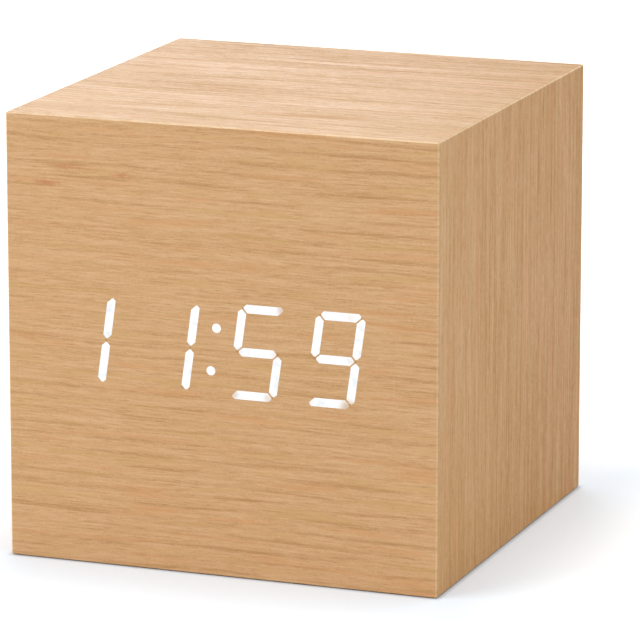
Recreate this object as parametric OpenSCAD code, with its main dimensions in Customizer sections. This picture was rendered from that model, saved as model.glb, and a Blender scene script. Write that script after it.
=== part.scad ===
// Cube-shaped wooden alarm clock whose time shines through the front veneer.
// Millimetres. The origin is on the table under the middle of the cube, +Z is up, the display faces -Y.

/* [Case] */
// Width of the cube, left to right
case_w = 68; // [61.5:0.5:90]
// Depth of the cube, front to back
case_d = 68; // [61.5:0.5:90]
// Height of the cube above the table
case_h = 68; // [60:0.5:90]
// Thickness of the fibreboard under the veneer
board_t = 3; // [2.5:0.1:3.5]
// Thickness of the veneer
veneer_t = 0.5; // [0.4:0.05:0.8]
// Leg of the small bevel along the cube's edges
arris = 0.2; // [0.1:0.05:0.35]
// Height of the wood's lower edge above the table
stand_off = 0.2; // [0.1:0.05:1]
// Width of a glue block in a lower corner
block_w = 13; // [11:0.5:14]
// Height of a glue block
block_h = 10; // [8:0.5:12]

/* [Display] */
// Hour on the display
shown_hour = 11; // [0:1:23]
// Minute on the display
shown_minute = 59; // [0:1:59]
// Height of a digit over its strokes
digit_h = 14.4; // [12:0.1:16]
// Width of an upright digit over its strokes
digit_w = 7.75; // [7:0.05:8.3]
// Width of a stroke
stroke_w = 1.3; // [1:0.05:1.5]
// Gap between the corner of a digit and the point that the sides of a tip run to
tip_gap = 0.18; // [0.14:0.02:0.5]
// Width of a stroke's blunt tip
tip_flat = 0.24; // [0.1:0.02:0.4]
// How far a tip at a corner of a digit lies outside its stroke's middle line
tip_out = 0.16; // [0:0.02:0.24]
// Lean of the digits in degrees
slant = 8; // [0:0.5:12]
// Spacing of the two hour digits
hour_pitch = 13.4; // [11.5:0.05:14]
// Spacing of the two digits beside the colon
colon_pitch = 13.85; // [12.5:0.05:15]
// Spacing of the two minute digits
minute_pitch = 12.15; // [11.5:0.05:14]
// Diameter of a colon dot
dot_d = 1.4; // [1:0.05:1.6]
// Spacing of the colon dots
dot_pitch = 6.5; // [4:0.1:8]
// Place of the colon to the right of the cube's middle
colon_x = -0.95; // [-1.5:0.05:1.5]
// Height of the middle of the display above the table
display_z = 34.6; // [34:0.1:40]
// Wall of the light box around the digits
light_box_wall = 0.8; // [0.6:0.1:1.6]
// Depth of the light box
light_box_t = 7; // [6.5:0.1:8]
// Thickness of the diffuser sheet
diffuser_t = 0.3; // [0.2:0.05:0.5]
// Thickness of both circuit boards
pcb_t = 1.6; // [1:0.1:2]
// Reach of the display board above and below the light box
pcb_lip = 7.5; // [7:0.1:9]

/* [Back controls] */
// Width of the control plate's face
plate_w = 42; // [41:0.5:44]
// Height of the control plate's face
plate_h = 14; // [13:0.5:16]
// Depth of the control plate's face below the back veneer
plate_recess = 1; // [0.9:0.1:1.5]
// Wall thickness of the control plate
plate_t = 1.6; // [1.2:0.1:2]
// Thickness of the plate's flange
flange_t = 1.5; // [1.2:0.1:2]
// Width of the plate's flange
flange_lip = 4.2; // [4:0.1:4.5]
// Height of the middle of the control plate above the table
control_z = 27; // [27:0.5:33]
// Diameter of a button
button_d = 6; // [5:0.1:6.4]
// Spacing of the buttons
button_pitch = 9; // [8.4:0.1:9.4]
// Place of the middle button to the right of the plate's middle
button_x = -6; // [-6.5:0.1:-5.5]
// Reach of a button out of the plate's face
button_stand = 0.7; // [0.5:0.05:0.8]
// Travel of a button
button_travel = 0.4; // [0.25:0.05:0.5]
// Place of the power inlet to the right of the plate's middle
socket_x = 14; // [13.5:0.1:14.5]
// Diameter of the power inlet's bore
socket_bore = 3.6; // [3.4:0.05:4]
// Diameter of the power inlet's centre pin
socket_pin_d = 1.3; // [1:0.05:1.4]

/* [Base] */
// Height of the base's underside above the wood's lower edge
base_inset = 0.4; // [0.2:0.05:1]
// Thickness of the base plate
base_t = 3; // [2.8:0.1:4]
// Diameter of a rubber foot
foot_d = 6; // [5:0.1:7]
// Depth of a foot's seat in the base
foot_seat = 0.8; // [0.5:0.05:1]

/* [Battery compartment] */
// Diameter of a cell
cell_d = 10.5; // [10:0.1:10.8]
// Length of a cell over its terminal
cell_l = 44.5; // [43.5:0.1:45]
// Length of a contact spring under load
spring_l = 4.1; // [3.9:0.1:4.5]
// Thickness of the spring's wire
spring_wire = 0.5; // [0.4:0.05:0.55]
// Wall thickness of the compartment
tub_wall = 1.2; // [1:0.1:1.4]
// Thickness of the battery door
door_t = 1.5; // [1.3:0.05:1.7]

/* [Hidden] */
// Smoothness of round things
$fn = 48;

// Clearances
// Gap around a piece that is laid into a cut-out
inlay_gap = 0.2;
// Radial gap of a screw in its hole
screw_gap = 0.04;
// Radial gap of a sliding or turning piece
slide_gap = 0.08;
// Gap around the battery door
door_gap = 0.25;
// Gap between a cell and what is beside it
cell_gap = 0.3;
// Extra length of a cutter beyond the face that it opens
over = 0.5;

// Faces of the case
side_x = case_w / 2;
front_y = -case_d / 2;
back_y = case_d / 2;
core_x = side_x - veneer_t;
core_front = front_y + veneer_t;
core_back = back_y - veneer_t;
core_top = case_h - veneer_t;
in_x = core_x - board_t;
in_front = core_front + board_t;
in_back = core_back - board_t;
in_top = core_top - board_t;

// Small machine screws of both circuit boards and of the control plate
screw_d = 2;
screw_head_d = 3.8;
screw_head_h = 1.3;
screw_bite = 2;

// Digits, from left to right: their middles and the figures they show
digit_x = [
    colon_x - colon_pitch / 2 - hour_pitch,
    colon_x - colon_pitch / 2,
    colon_x + colon_pitch / 2,
    colon_x + colon_pitch / 2 + minute_pitch
];
figures = [
    floor(shown_hour / 10),
    shown_hour % 10,
    floor(shown_minute / 10),
    shown_minute % 10
];
// Strokes that make each figure, named as on any seven-segment display
figure_strokes = ["abcdef", "bc", "abdeg", "abcdg", "bcfg", "acdfg", "acdefg", "abc", "abcdefg", "abcdfg"];
stroke_names = ["a", "b", "c", "d", "e", "f", "g"];
stroke_half_x = (digit_w - stroke_w) / 2;
stroke_half_z = (digit_h - stroke_w) / 2;
// Middle of each stroke in its digit, and whether it lies flat
stroke_middles = [
    [0, stroke_half_z],
    [stroke_half_x, stroke_half_z / 2],
    [stroke_half_x, -stroke_half_z / 2],
    [0, -stroke_half_z],
    [-stroke_half_x, -stroke_half_z / 2],
    [-stroke_half_x, stroke_half_z / 2],
    [0, 0]
];
stroke_is_flat = [true, false, false, true, false, false, true];
// Which way each stroke's outer side faces
stroke_outward = [1, 1, 1, -1, -1, -1, 0];
// Whether its left or lower end, and its right or upper end, is at a corner of the digit
low_at_corner = [1, 0, 1, 1, 1, 0, 0];
high_at_corner = [1, 1, 0, 1, 0, 1, 0];
flat_length = 2 * (stroke_half_x - tip_gap);
upright_length = stroke_half_z - 2 * tip_gap;

// Light box and display board
digit_lean = digit_h / 2 * tan(slant);
light_box_left = digit_x[0] - digit_w / 2 - digit_lean - light_box_wall;
light_box_right = digit_x[3] + digit_w / 2 + digit_lean + light_box_wall;
light_box_w = light_box_right - light_box_left;
light_box_h = digit_h + 2 * light_box_wall;
light_box_x = (light_box_left + light_box_right) / 2;
light_box_front = core_front + diffuser_t;
display_pcb_front = light_box_front + light_box_t;
display_pcb_back = display_pcb_front + pcb_t;
display_pcb_h = light_box_h + 2 * pcb_lip;
display_pcb_low = display_z - display_pcb_h / 2;
display_screw_inset = 3.4;
display_screw_x = light_box_w / 2 - display_screw_inset;
display_screw_z = display_pcb_h / 2 - display_screw_inset;
spacer_d = 4.6;
spacer_l = display_pcb_front - in_front;
lamp_l = 1.6;
lamp_w = 0.7;
lamp_t = 0.8;

// Pieces on the back of the display board: places from its middle, and sizes
coin_place = [12.6, 1.4];
coin_d = 20;
coin_t = 3.2;
coin_rim = 1.5;
coin_floor = 1;
coin_fit = 0.15;
coin_shoulder = 1.2;
coin_cap_h = 0.4;
clip_w = 5;
clip_t = 0.4;
buzzer_place = [-13.4, 6.4];
buzzer_d = 12;
buzzer_h = 8.5;
buzzer_hole_d = 2.4;
buzzer_hole_depth = 1;
chip_place = [-7.9, -8.6];
chip_w = 10;
chip_h = 7.4;
chip_t = 2.3;
chip_legs = 8;
crystal_place = [-7.9, -2.4];
crystal_d = 2;
crystal_l = 6;
microphone_place = [-18.4, -4.1];
microphone_d = 6;
microphone_h = 2.7;
microphone_rim = 0.5;
microphone_dip = 0.3;
thermistor_place = [-2.5, 9.4];
thermistor_d = 2.4;
thermistor_stand = 4;

// Control plate, from its outer face inwards
plate_face = back_y - plate_recess;
plate_inner = plate_face - plate_t;
flange_inner = in_back - flange_t;
flange_w = plate_w + 2 * flange_lip;
flange_h = plate_h + 2 * flange_lip;
plate_screw_x = plate_w / 2 + flange_lip / 2;
plate_screw_z = plate_h / 2 + flange_lip / 2;

// Buttons, from the plate inwards to the key board
button_names = ["set", "up", "down"];
button_lip_w = 0.8;
button_lip_t = 0.8;
button_lip_face = plate_inner - slide_gap;
button_stem_l = 1;
button_stem_d = 4.2;
button_end = button_lip_face - button_lip_t - button_stem_l;
plunger_d = 3.4;
plunger_stand = 1;
plunger_seat = 1.3;
plunger_room = 0.3;
switch_w = 6;
switch_t = 3.5;
switch_top = button_end - plunger_stand;
key_pcb_face = switch_top - switch_t;
key_pcb_inner = key_pcb_face - pcb_t;
key_pcb_h = plate_h;
boss_d = 4;

// Power inlet
socket_w = 8;
socket_nose_d = 6.4;
socket_back_gap = 0.6;
socket_sink = 0.3;
socket_floor_t = 1;
socket_pin_sink = 0.8;
socket_body_end = plate_inner - socket_back_gap;
socket_nose_end = plate_face - socket_sink;
socket_floor = key_pcb_face + socket_floor_t;
socket_pin_end = socket_nose_end - socket_pin_sink;

// Base, from the table upwards
base_z = stand_off + base_inset;
base_top = base_z + base_t;
base_half_x = in_x - inlay_gap;
base_half_y = in_back - inlay_gap;
block_top = base_top + block_h;
block_gap = 0.7;
base_screw_d = 2.2;
base_screw_head_d = 4.2;
base_screw_head_h = 1.1;
base_screw_seat = base_z + foot_seat + base_screw_head_h;
base_screw_bite = 6;

// Battery compartment, from the door upwards
cell_count = 3;
cell_spacing = 0.8;
cell_pitch = cell_d + cell_spacing;
terminal_d = 3.8;
terminal_h = 1;
contact_t = 0.4;
contact_side = 0.75;
contact_low = 1.5;
contact_w = cell_d - 2 * contact_side;
contact_h = cell_d - 2 * contact_low;
contact_fit = 0.05;
tub_l = cell_l + spring_l + 2 * contact_t + 2 * contact_fit;
tub_w = (cell_count - 1) * cell_pitch + cell_d + 2 * cell_gap;
door_top = base_z + door_t;
tub_low = door_top + slide_gap;
cell_z = door_top + cell_gap + cell_d / 2;
tub_roof = cell_z + cell_d / 2 + cell_gap;
tub_top = tub_roof + tub_wall;
rib_t = 0.5;
rib_h = 3;
tab_w = 3;
tab_rise = 2.4;

// Battery door
door_l = tub_l + 2 * tub_wall;
door_w = tub_w + 2 * tub_wall;
hinge_x = -door_l / 2 + door_t / 2;
hinge_z = base_z + door_t / 2;
pin_d = 1;
pin_l = 1.4;
latch_w = 10;
latch_l = 6.5;
latch_slit = 0.6;
latch_nib = 0.12;
grip_count = 4;
grip_w = 0.6;
grip_depth = 0.35;
grip_pitch = 1.3;
latch_edge = 1.2;
grip_half_w = latch_w / 2 - latch_edge;
thumb_w = 9;
thumb_depth = 1;
// The thumb notch takes half of the base's rim beside the latch
thumb_reach = (base_half_x - door_l / 2 - door_gap) / 2;

// Feet and base screws: in the middle of the strips in front of and behind the door
strip_low = door_w / 2 + door_gap;
corner_inset = 8.5;
corner_x = in_x - corner_inset;
corner_y = (strip_low + base_half_y) / 2;

// Contact springs
spring_turns = 4;
spring_rings = 8;
spring_sides = 6;
spring_wide_r = 3.7;
spring_narrow_r = 1.9;
// Rise and shrink of one turn
spring_rise = (spring_l - spring_wire - 2 * contact_fit) / spring_turns;
spring_shrink = (spring_wide_r - spring_narrow_r) / spring_turns;
// Centre line of a spring, and the least gap between points of it that are half a turn or more apart
spring_last = spring_turns * spring_rings;
spring_points = [for (i = [0 : spring_last]) spring_point(i / spring_rings)];
spring_least_gap = min([for (i = [0 : spring_last], j = [0 : spring_last])
    if (j - i >= spring_rings / 2)
        norm(spring_points[j] - spring_points[i])]) - spring_wire;
echo(spring_least_gap = spring_least_gap);

// Wiring
link_x = 5;
header_w = 8;
header_h = 4;
header_t = 5;
plug_w = 7.2;
plug_h = 3.4;
plug_t = 3.6;
ribbon_w = 6;
ribbon_t = 1;
ribbon_bow = 5;
ribbon_steps = 16;
link_inset = 3.2;
link_front = [display_pcb_back + header_t + plug_t, display_pcb_low + link_inset];
link_back = [key_pcb_inner - header_t - plug_t, control_z - key_pcb_h / 2 + link_inset];
lead_d = 1.3;
lead_steps = 4;
lead_sides = 8;
lead_x = 18;
lead_turn = 5;
lead_straight = 1;

// Places children drawn in the face's own plane, x to the right and z up, as a slab from y to y + thickness.
module slab_y(y, thickness) {
    translate([0, y + thickness, 0])
        rotate([90, 0, 0])
            linear_extrude(thickness)
                children();
}

// Places children drawn with y to the right and z up as a slab from x to x + thickness.
module slab_x(x, thickness) {
    translate([x, 0, 0])
        rotate([90, 0, 90])
            linear_extrude(thickness)
                children();
}

// A box given by two opposite corners.
module block(low, high) {
    translate(low)
        cube(high - low);
}

// A round bar along y.
module bar_y(x, z, from, to, d) {
    translate([x, from, z])
        rotate([-90, 0, 0])
            cylinder(d = d, h = to - from);
}

// A pan-head screw with a cross recess: the shank rises from the origin, the head lies under it.
module screw(d, bite, head_d, head_h) {
    slot_w = head_d / 6;
    slot_l = head_d * 0.6;
    slot_depth = head_h * 0.6;
    difference() {
        union() {
            cylinder(d = d, h = bite);
            translate([0, 0, -head_h])
                cylinder(d = head_d, h = head_h);
        }
        for (turn = [0, 90])
            rotate([0, 0, turn])
                translate([-slot_l / 2, -slot_w / 2, -head_h - over])
                    cube([slot_l, slot_w, slot_depth + over]);
    }
}

// Signs of the four corners of a rectangle.
corners = [[-1, -1], [1, -1], [1, 1], [-1, 1]];

// Case

// Outline of a flat face with its two upper corners bevelled.
module eased_outline(half_w, low, high) {
    polygon([
        [-half_w, low],
        [half_w, low],
        [half_w, high - arris],
        [half_w - arris, high],
        [-half_w + arris, high],
        [-half_w, high - arris]
    ]);
}

// The whole cube with bevelled edges: every veneer is a slice of it.
module eased_cube() {
    intersection() {
        slab_y(front_y, case_d)
            eased_outline(side_x, stand_off, case_h);
        slab_x(-side_x, case_w)
            eased_outline(back_y, stand_off, case_h);
        linear_extrude(case_h)
            polygon([
                [-side_x + arris, front_y],
                [side_x - arris, front_y],
                [side_x, front_y + arris],
                [side_x, back_y - arris],
                [side_x - arris, back_y],
                [-side_x + arris, back_y],
                [-side_x, back_y - arris],
                [-side_x, front_y + arris]
            ]);
    }
}

module front_veneer() {
    color("#d0a679")
        difference() {
            intersection() {
                eased_cube();
                block([-case_w, front_y, 0], [case_w, core_front, case_h]);
            }
            slab_y(front_y - over, veneer_t + 2 * over)
                lit_shape();
        }
}

module wrap_veneer() {
    color("#d9b389")
        difference() {
            intersection() {
                eased_cube();
                block([-case_w, core_front, 0], [case_w, core_back, case_h]);
            }
            block([-core_x, front_y, -over], [core_x, back_y, core_top]);
        }
}

module back_veneer() {
    color("#d0a679")
        difference() {
            intersection() {
                eased_cube();
                block([-case_w, core_back, 0], [case_w, back_y, case_h]);
            }
            plate_cutout();
        }
}

// Opening in the back board and its veneer for the control plate.
module plate_cutout() {
    half_w = plate_w / 2 + inlay_gap;
    half_h = plate_h / 2 + inlay_gap;
    block([-half_w, in_back - over, control_z - half_h], [half_w, back_y + over, control_z + half_h]);
}

module front_board() {
    color("#b48a5a")
        difference() {
            block([-core_x, core_front, stand_off], [core_x, in_front, core_top]);
            block(
                [light_box_left - inlay_gap, core_front - over, display_z - light_box_h / 2 - inlay_gap],
                [light_box_right + inlay_gap, in_front + over, display_z + light_box_h / 2 + inlay_gap]
            );
            for (corner = corners)
                bar_y(
                    light_box_x + corner.x * display_screw_x,
                    display_z + corner.y * display_screw_z,
                    in_front - screw_bite - over,
                    in_front + over,
                    screw_d + 2 * screw_gap
                );
        }
}

module back_board() {
    color("#b48a5a")
        difference() {
            block([-core_x, in_back, stand_off], [core_x, core_back, core_top]);
            plate_cutout();
            for (corner = corners)
                bar_y(
                    corner.x * plate_screw_x,
                    control_z + corner.y * plate_screw_z,
                    in_back - over,
                    in_back + screw_bite + over,
                    screw_d + 2 * screw_gap
                );
        }
}

// The top and both sides meet in mitres, so the veneer folds over solid corners. They stand between the
// front board and the back board.
module top_board() {
    color("#a87f52")
        slab_y(in_front, in_back - in_front)
            polygon([[-core_x, core_top], [core_x, core_top], [in_x, in_top], [-in_x, in_top]]);
}

module side_board() {
    slab_y(in_front, in_back - in_front)
        polygon([[in_x, stand_off], [core_x, stand_off], [core_x, core_top], [in_x, in_top]]);
}

module left_board() {
    color("#a87f52")
        mirror([1, 0, 0])
            side_board();
}

module right_board() {
    color("#a87f52")
        side_board();
}

module corner_blocks() {
    color("#c49a68")
        for (corner = corners)
            scale_to_corner(corner)
                difference() {
                    block([in_x - block_w, strip_low + block_gap, base_top], [in_x, in_back, block_top]);
                    translate([corner_x, corner_y, base_top - over])
                        cylinder(d = base_screw_d + 2 * screw_gap, h = base_screw_bite + 2 * over);
                }
}

// Mirrors children drawn in the right back corner into any corner.
module scale_to_corner(corner) {
    mirror([corner.x < 0 ? 1 : 0, 0, 0])
        mirror([0, corner.y < 0 ? 1 : 0, 0])
            children();
}

// Display

// A point of an upright digit, leaned to the right above the display's middle.
function leaned(point) = [point.x + point.y * tan(slant), point.y];

// Right end of a stroke that lies flat, from its lower to its upper edge: two bevels and a blunt tip.
// A tip that lies off the middle line by shift keeps the bevel on its other side in place.
function stroke_end(length, shift) =
    let (reach = length / 2 + abs(shift))
    let (side = stroke_w / 2)
    let (blunt = tip_flat / 2)
    [
        [reach - side - shift, -side],
        [reach - blunt, shift - blunt],
        [reach - blunt, shift + blunt],
        [reach - side + shift, side]
    ];

// Outline of a stroke that lies flat, around its own middle.
function flat_stroke(length, low_shift, high_shift) =
    let (low_end = stroke_end(length, low_shift))
    concat(
        stroke_end(length, high_shift),
        [for (step = [3 : -1 : 0]) [-low_end[step].x, low_end[step].y]]
    );

// Outline of one stroke of a digit whose middle is at the display's middle.
function stroke_outline(index) =
    let (flat = stroke_is_flat[index])
    let (shift = stroke_outward[index] * tip_out)
    let (length = flat ? flat_length : upright_length)
    let (outline = flat_stroke(length, shift * low_at_corner[index], shift * high_at_corner[index]))
    [for (point = outline) leaned(stroke_middles[index] + (flat ? point : [point.y, point.x]))];

function is_lit(place, index) =
    !(place == 0 && figures[0] == 0) &&
    len(search(stroke_names[index], figure_strokes[figures[place]])) > 0;

module stroke(place, index) {
    translate([digit_x[place], display_z])
        polygon(stroke_outline(index));
}

module colon_dots(d) {
    for (side = [-1, 1])
        translate([colon_x, display_z] + leaned([0, side * dot_pitch / 2]))
            circle(d = d);
}

// The lit strokes and dots of the time shown.
module lit_shape() {
    for (place = [0 : 3], index = [0 : 6])
        if (is_lit(place, index))
            stroke(place, index);
    colon_dots(dot_d);
}

module lit_segments() {
    color("#ffffff")
        slab_y(front_y, veneer_t)
            lit_shape();
}

module diffuser_sheet() {
    color("#f4f4f0")
        block(
            [light_box_left, core_front, display_z - light_box_h / 2],
            [light_box_right, light_box_front, display_z + light_box_h / 2]
        );
}

module light_box() {
    color("#eeeeea")
        difference() {
            block(
                [light_box_left, light_box_front, display_z - light_box_h / 2],
                [light_box_right, display_pcb_front, display_z + light_box_h / 2]
            );
            slab_y(light_box_front - over, light_box_t + 2 * over) {
                for (place = [0 : 3], index = [0 : 6])
                    stroke(place, index);
                colon_dots(dot_d);
            }
        }
}

// One lamp stands in each well of the light box.
module segment_lamps() {
    color("#f6f1c8")
        slab_y(display_pcb_front - lamp_t, lamp_t) {
            for (place = [0 : 3], index = [0 : 6])
                translate([digit_x[place], display_z] + leaned(stroke_middles[index]))
                    square(stroke_is_flat[index] ? [lamp_l, lamp_w] : [lamp_w, lamp_l], center = true);
            for (side = [-1, 1])
                translate([colon_x, display_z] + leaned([0, side * dot_pitch / 2]))
                    square([lamp_w, lamp_w], center = true);
        }
}

module display_board() {
    color("#1f6b3a")
        difference() {
            block(
                [light_box_left, display_pcb_front, display_z - display_pcb_h / 2],
                [light_box_right, display_pcb_back, display_z + display_pcb_h / 2]
            );
            at_display_screws()
                cylinder(d = screw_d + 2 * screw_gap, h = 2 * pcb_t, center = true);
        }
}

// Puts children on the back face of the display board at its four screws, their +z towards the front.
module at_display_screws() {
    for (corner = corners)
        translate([
            light_box_x + corner.x * display_screw_x,
            display_pcb_back,
            display_z + corner.y * display_screw_z
        ])
            rotate([90, 0, 0])
                children();
}

module display_spacers() {
    color("#d8d8d2")
        at_display_screws()
            translate([0, 0, pcb_t])
                difference() {
                    cylinder(d = spacer_d, h = spacer_l);
                    translate([0, 0, -over])
                        cylinder(d = screw_d + 2 * screw_gap, h = spacer_l + 2 * over);
                }
}

module display_screws() {
    color("#b9bcc0")
        at_display_screws()
            screw(screw_d, pcb_t + spacer_l + screw_bite, screw_head_d, screw_head_h);
}

// Puts children on the back face of the display board, their +z away from it.
module on_display_board(spot) {
    translate([light_box_x + spot.x, display_pcb_back, display_z + spot.y])
        rotate([-90, 0, 0])
            children();
}

module controller_chip() {
    leg_pitch = chip_w / chip_legs;
    leg_w = 0.45;
    leg_reach = 1.1;
    leg_t = 0.25;
    color("#26282b")
        on_display_board(chip_place) {
            translate([-chip_w / 2, -chip_h / 2, 0])
                cube([chip_w, chip_h, chip_t]);
            for (leg = [0 : chip_legs - 1])
                translate([(leg - (chip_legs - 1) / 2) * leg_pitch - leg_w / 2, -chip_h / 2 - leg_reach, 0])
                    cube([leg_w, chip_h + 2 * leg_reach, leg_t]);
        }
}

module clock_crystal() {
    color("#c9ccd0")
        on_display_board(crystal_place)
            translate([-crystal_l / 2, 0, crystal_d / 2])
                rotate([0, 90, 0])
                    cylinder(d = crystal_d, h = crystal_l);
}

module coin_cell_holder() {
    rim_h = coin_floor + coin_t;
    color("#2b2d30")
        on_display_board(coin_place)
            difference() {
                cylinder(d = coin_d + 2 * (coin_rim + coin_fit), h = rim_h);
                translate([0, 0, coin_floor])
                    cylinder(d = coin_d + 2 * coin_fit, h = rim_h);
                translate([-coin_d / 4, coin_d / 2 - coin_rim, coin_floor])
                    cube([coin_d / 2, 3 * coin_rim, rim_h]);
            }
}

module coin_cell() {
    cap_r = coin_d / 2 - coin_shoulder;
    color("#d2d4d6")
        on_display_board(coin_place)
            translate([0, 0, coin_floor])
                rotate_extrude()
                    polygon([
                        [0, 0],
                        [cap_r, 0],
                        [cap_r, coin_cap_h],
                        [coin_d / 2, coin_cap_h],
                        [coin_d / 2, coin_t],
                        [0, coin_t]
                    ]);
}

// A strap over the coin cell, hooked down onto the board on both sides of the holder.
module coin_cell_clip() {
    outer = coin_d / 2 + coin_fit + coin_rim + slide_gap + clip_t;
    top = coin_floor + coin_t;
    color("#c3a24a")
        on_display_board(coin_place)
            translate([0, clip_w / 2, 0])
                rotate([90, 0, 0])
                    linear_extrude(clip_w)
                        difference() {
                            translate([-outer, 0])
                                square([2 * outer, top + clip_t]);
                            translate([clip_t - outer, -over])
                                square([2 * (outer - clip_t), top + over]);
                        }
}

module buzzer() {
    color("#1c1d1f")
        on_display_board(buzzer_place)
            difference() {
                cylinder(d = buzzer_d, h = buzzer_h);
                translate([0, 0, buzzer_h - buzzer_hole_depth])
                    cylinder(d = buzzer_hole_d, h = buzzer_hole_depth + over);
            }
}

module microphone() {
    color("#c9ccd0")
        on_display_board(microphone_place)
            difference() {
                cylinder(d = microphone_d, h = microphone_h);
                translate([0, 0, microphone_h - microphone_dip])
                    cylinder(d = microphone_d - 2 * microphone_rim, h = microphone_dip + over);
            }
}

module thermistor() {
    lead_gap = 1.2;
    wire_d = 0.5;
    color("#3a4a66")
        on_display_board(thermistor_place) {
            translate([0, 0, thermistor_stand])
                sphere(d = thermistor_d);
            for (side = [-1, 1])
                translate([side * lead_gap / 2, 0, 0])
                    cylinder(d = wire_d, h = thermistor_stand);
        }
}

// Back controls

// Puts children at a place on the control plate, their origin at the given y and their +z outwards.
module on_controls(x, y) {
    translate([x, y, control_z])
        rotate([-90, 0, 0])
            children();
}

function button_place(index) = button_x + (index - 1) * button_pitch;

module at_plate_screws() {
    for (corner = corners)
        translate([corner.x * plate_screw_x, flange_inner, control_z + corner.y * plate_screw_z])
            rotate([-90, 0, 0])
                children();
}

module at_key_board_screws() {
    for (side = [-1, 1])
        on_controls(side * plate_screw_x, key_pcb_inner)
            children();
}

module control_plate() {
    boss_l = flange_inner - key_pcb_face;
    pilot_l = boss_l + flange_t;
    color("#1d1e20")
        difference() {
            union() {
                block(
                    [-plate_w / 2, flange_inner, control_z - plate_h / 2],
                    [plate_w / 2, plate_face, control_z + plate_h / 2]
                );
                block(
                    [-flange_w / 2, flange_inner, control_z - flange_h / 2],
                    [flange_w / 2, in_back, control_z + flange_h / 2]
                );
                for (side = [-1, 1])
                    on_controls(side * plate_screw_x, key_pcb_face)
                        cylinder(d = boss_d, h = boss_l + flange_t / 2);
            }
            block(
                [plate_t - plate_w / 2, flange_inner - over, control_z - plate_h / 2 + plate_t],
                [plate_w / 2 - plate_t, plate_inner, control_z + plate_h / 2 - plate_t]
            );
            for (index = [0 : 2])
                on_controls(button_place(index), plate_inner - over)
                    cylinder(d = button_d + 2 * slide_gap, h = plate_t + 2 * over);
            on_controls(socket_x, plate_inner - over)
                cylinder(d = socket_nose_d + 2 * inlay_gap, h = plate_t + 2 * over);
            at_plate_screws()
                cylinder(d = screw_d + 2 * screw_gap, h = 3 * flange_t, center = true);
            for (side = [-1, 1])
                on_controls(side * plate_screw_x, key_pcb_face - over)
                    cylinder(d = screw_d + 2 * screw_gap, h = pilot_l);
        }
}

module control_plate_screws() {
    color("#b9bcc0")
        at_plate_screws()
            screw(screw_d, flange_t + screw_bite, screw_head_d, screw_head_h);
}

// A cap with a lip behind the plate that keeps it in, a dished face, and a foot on its switch.
module button(index) {
    cap_end = plate_face + button_stand;
    dish_r = button_d * 2;
    dish_depth = 0.25;
    color("#2a2b2e")
        difference() {
            union() {
                on_controls(button_place(index), button_end)
                    cylinder(d = button_stem_d, h = button_lip_face - button_end);
                on_controls(button_place(index), button_lip_face - button_lip_t)
                    cylinder(d = button_d + 2 * button_lip_w, h = button_lip_t);
                on_controls(button_place(index), button_lip_face - button_lip_t)
                    cylinder(d = button_d, h = cap_end - button_lip_face + button_lip_t);
            }
            on_controls(button_place(index), cap_end + dish_r - dish_depth)
                sphere(r = dish_r);
        }
}

module set_button() {
    button(0);
}

module up_button() {
    button(1);
}

module down_button() {
    button(2);
}

module plunger(index) {
    color("#e4e4de")
        on_controls(button_place(index), switch_top - plunger_seat)
            cylinder(d = plunger_d, h = plunger_stand + plunger_seat);
}

module set_plunger() {
    plunger(0);
}

module up_plunger() {
    plunger(1);
}

module down_plunger() {
    plunger(2);
}

module key_switches() {
    well = plunger_seat + button_travel + plunger_room;
    color("#303236")
        for (index = [0 : 2])
            on_controls(button_place(index), key_pcb_face)
                difference() {
                    translate([-switch_w / 2, -switch_w / 2, 0])
                        cube([switch_w, switch_w, switch_t]);
                    translate([0, 0, switch_t - well])
                        cylinder(d = plunger_d + 2 * slide_gap, h = well + over);
                }
}

module key_board() {
    color("#1f6b3a")
        difference() {
            block(
                [-flange_w / 2, key_pcb_inner, control_z - key_pcb_h / 2],
                [flange_w / 2, key_pcb_face, control_z + key_pcb_h / 2]
            );
            at_key_board_screws()
                cylinder(d = screw_d + 2 * screw_gap, h = 4 * pcb_t, center = true);
        }
}

module key_board_screws() {
    bite = pcb_t + flange_inner - key_pcb_face + flange_t / 2;
    color("#b9bcc0")
        at_key_board_screws()
            screw(screw_d, bite, screw_head_d, screw_head_h);
}

module power_inlet() {
    color("#17181a")
        difference() {
            union() {
                on_controls(socket_x, key_pcb_face)
                    translate([-socket_w / 2, -socket_w / 2, 0])
                        cube([socket_w, socket_w, socket_body_end - key_pcb_face]);
                on_controls(socket_x, key_pcb_face)
                    cylinder(d = socket_nose_d, h = socket_nose_end - key_pcb_face);
            }
            on_controls(socket_x, socket_floor)
                cylinder(d = socket_bore, h = socket_nose_end - socket_floor + over);
        }
}

module power_inlet_pin() {
    color("#d9dadb")
        on_controls(socket_x, socket_floor) {
            cylinder(d = socket_pin_d, h = socket_pin_end - socket_floor - socket_pin_d / 2);
            translate([0, 0, socket_pin_end - socket_floor - socket_pin_d / 2])
                sphere(d = socket_pin_d);
        }
}

// Base and battery compartment

function cell_place(index) = (index - (cell_count - 1) / 2) * cell_pitch;

// Which way a cell's plus end points: neighbours point opposite ways.
function cell_way(index) = index % 2 == 0 ? 1 : -1;

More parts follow.
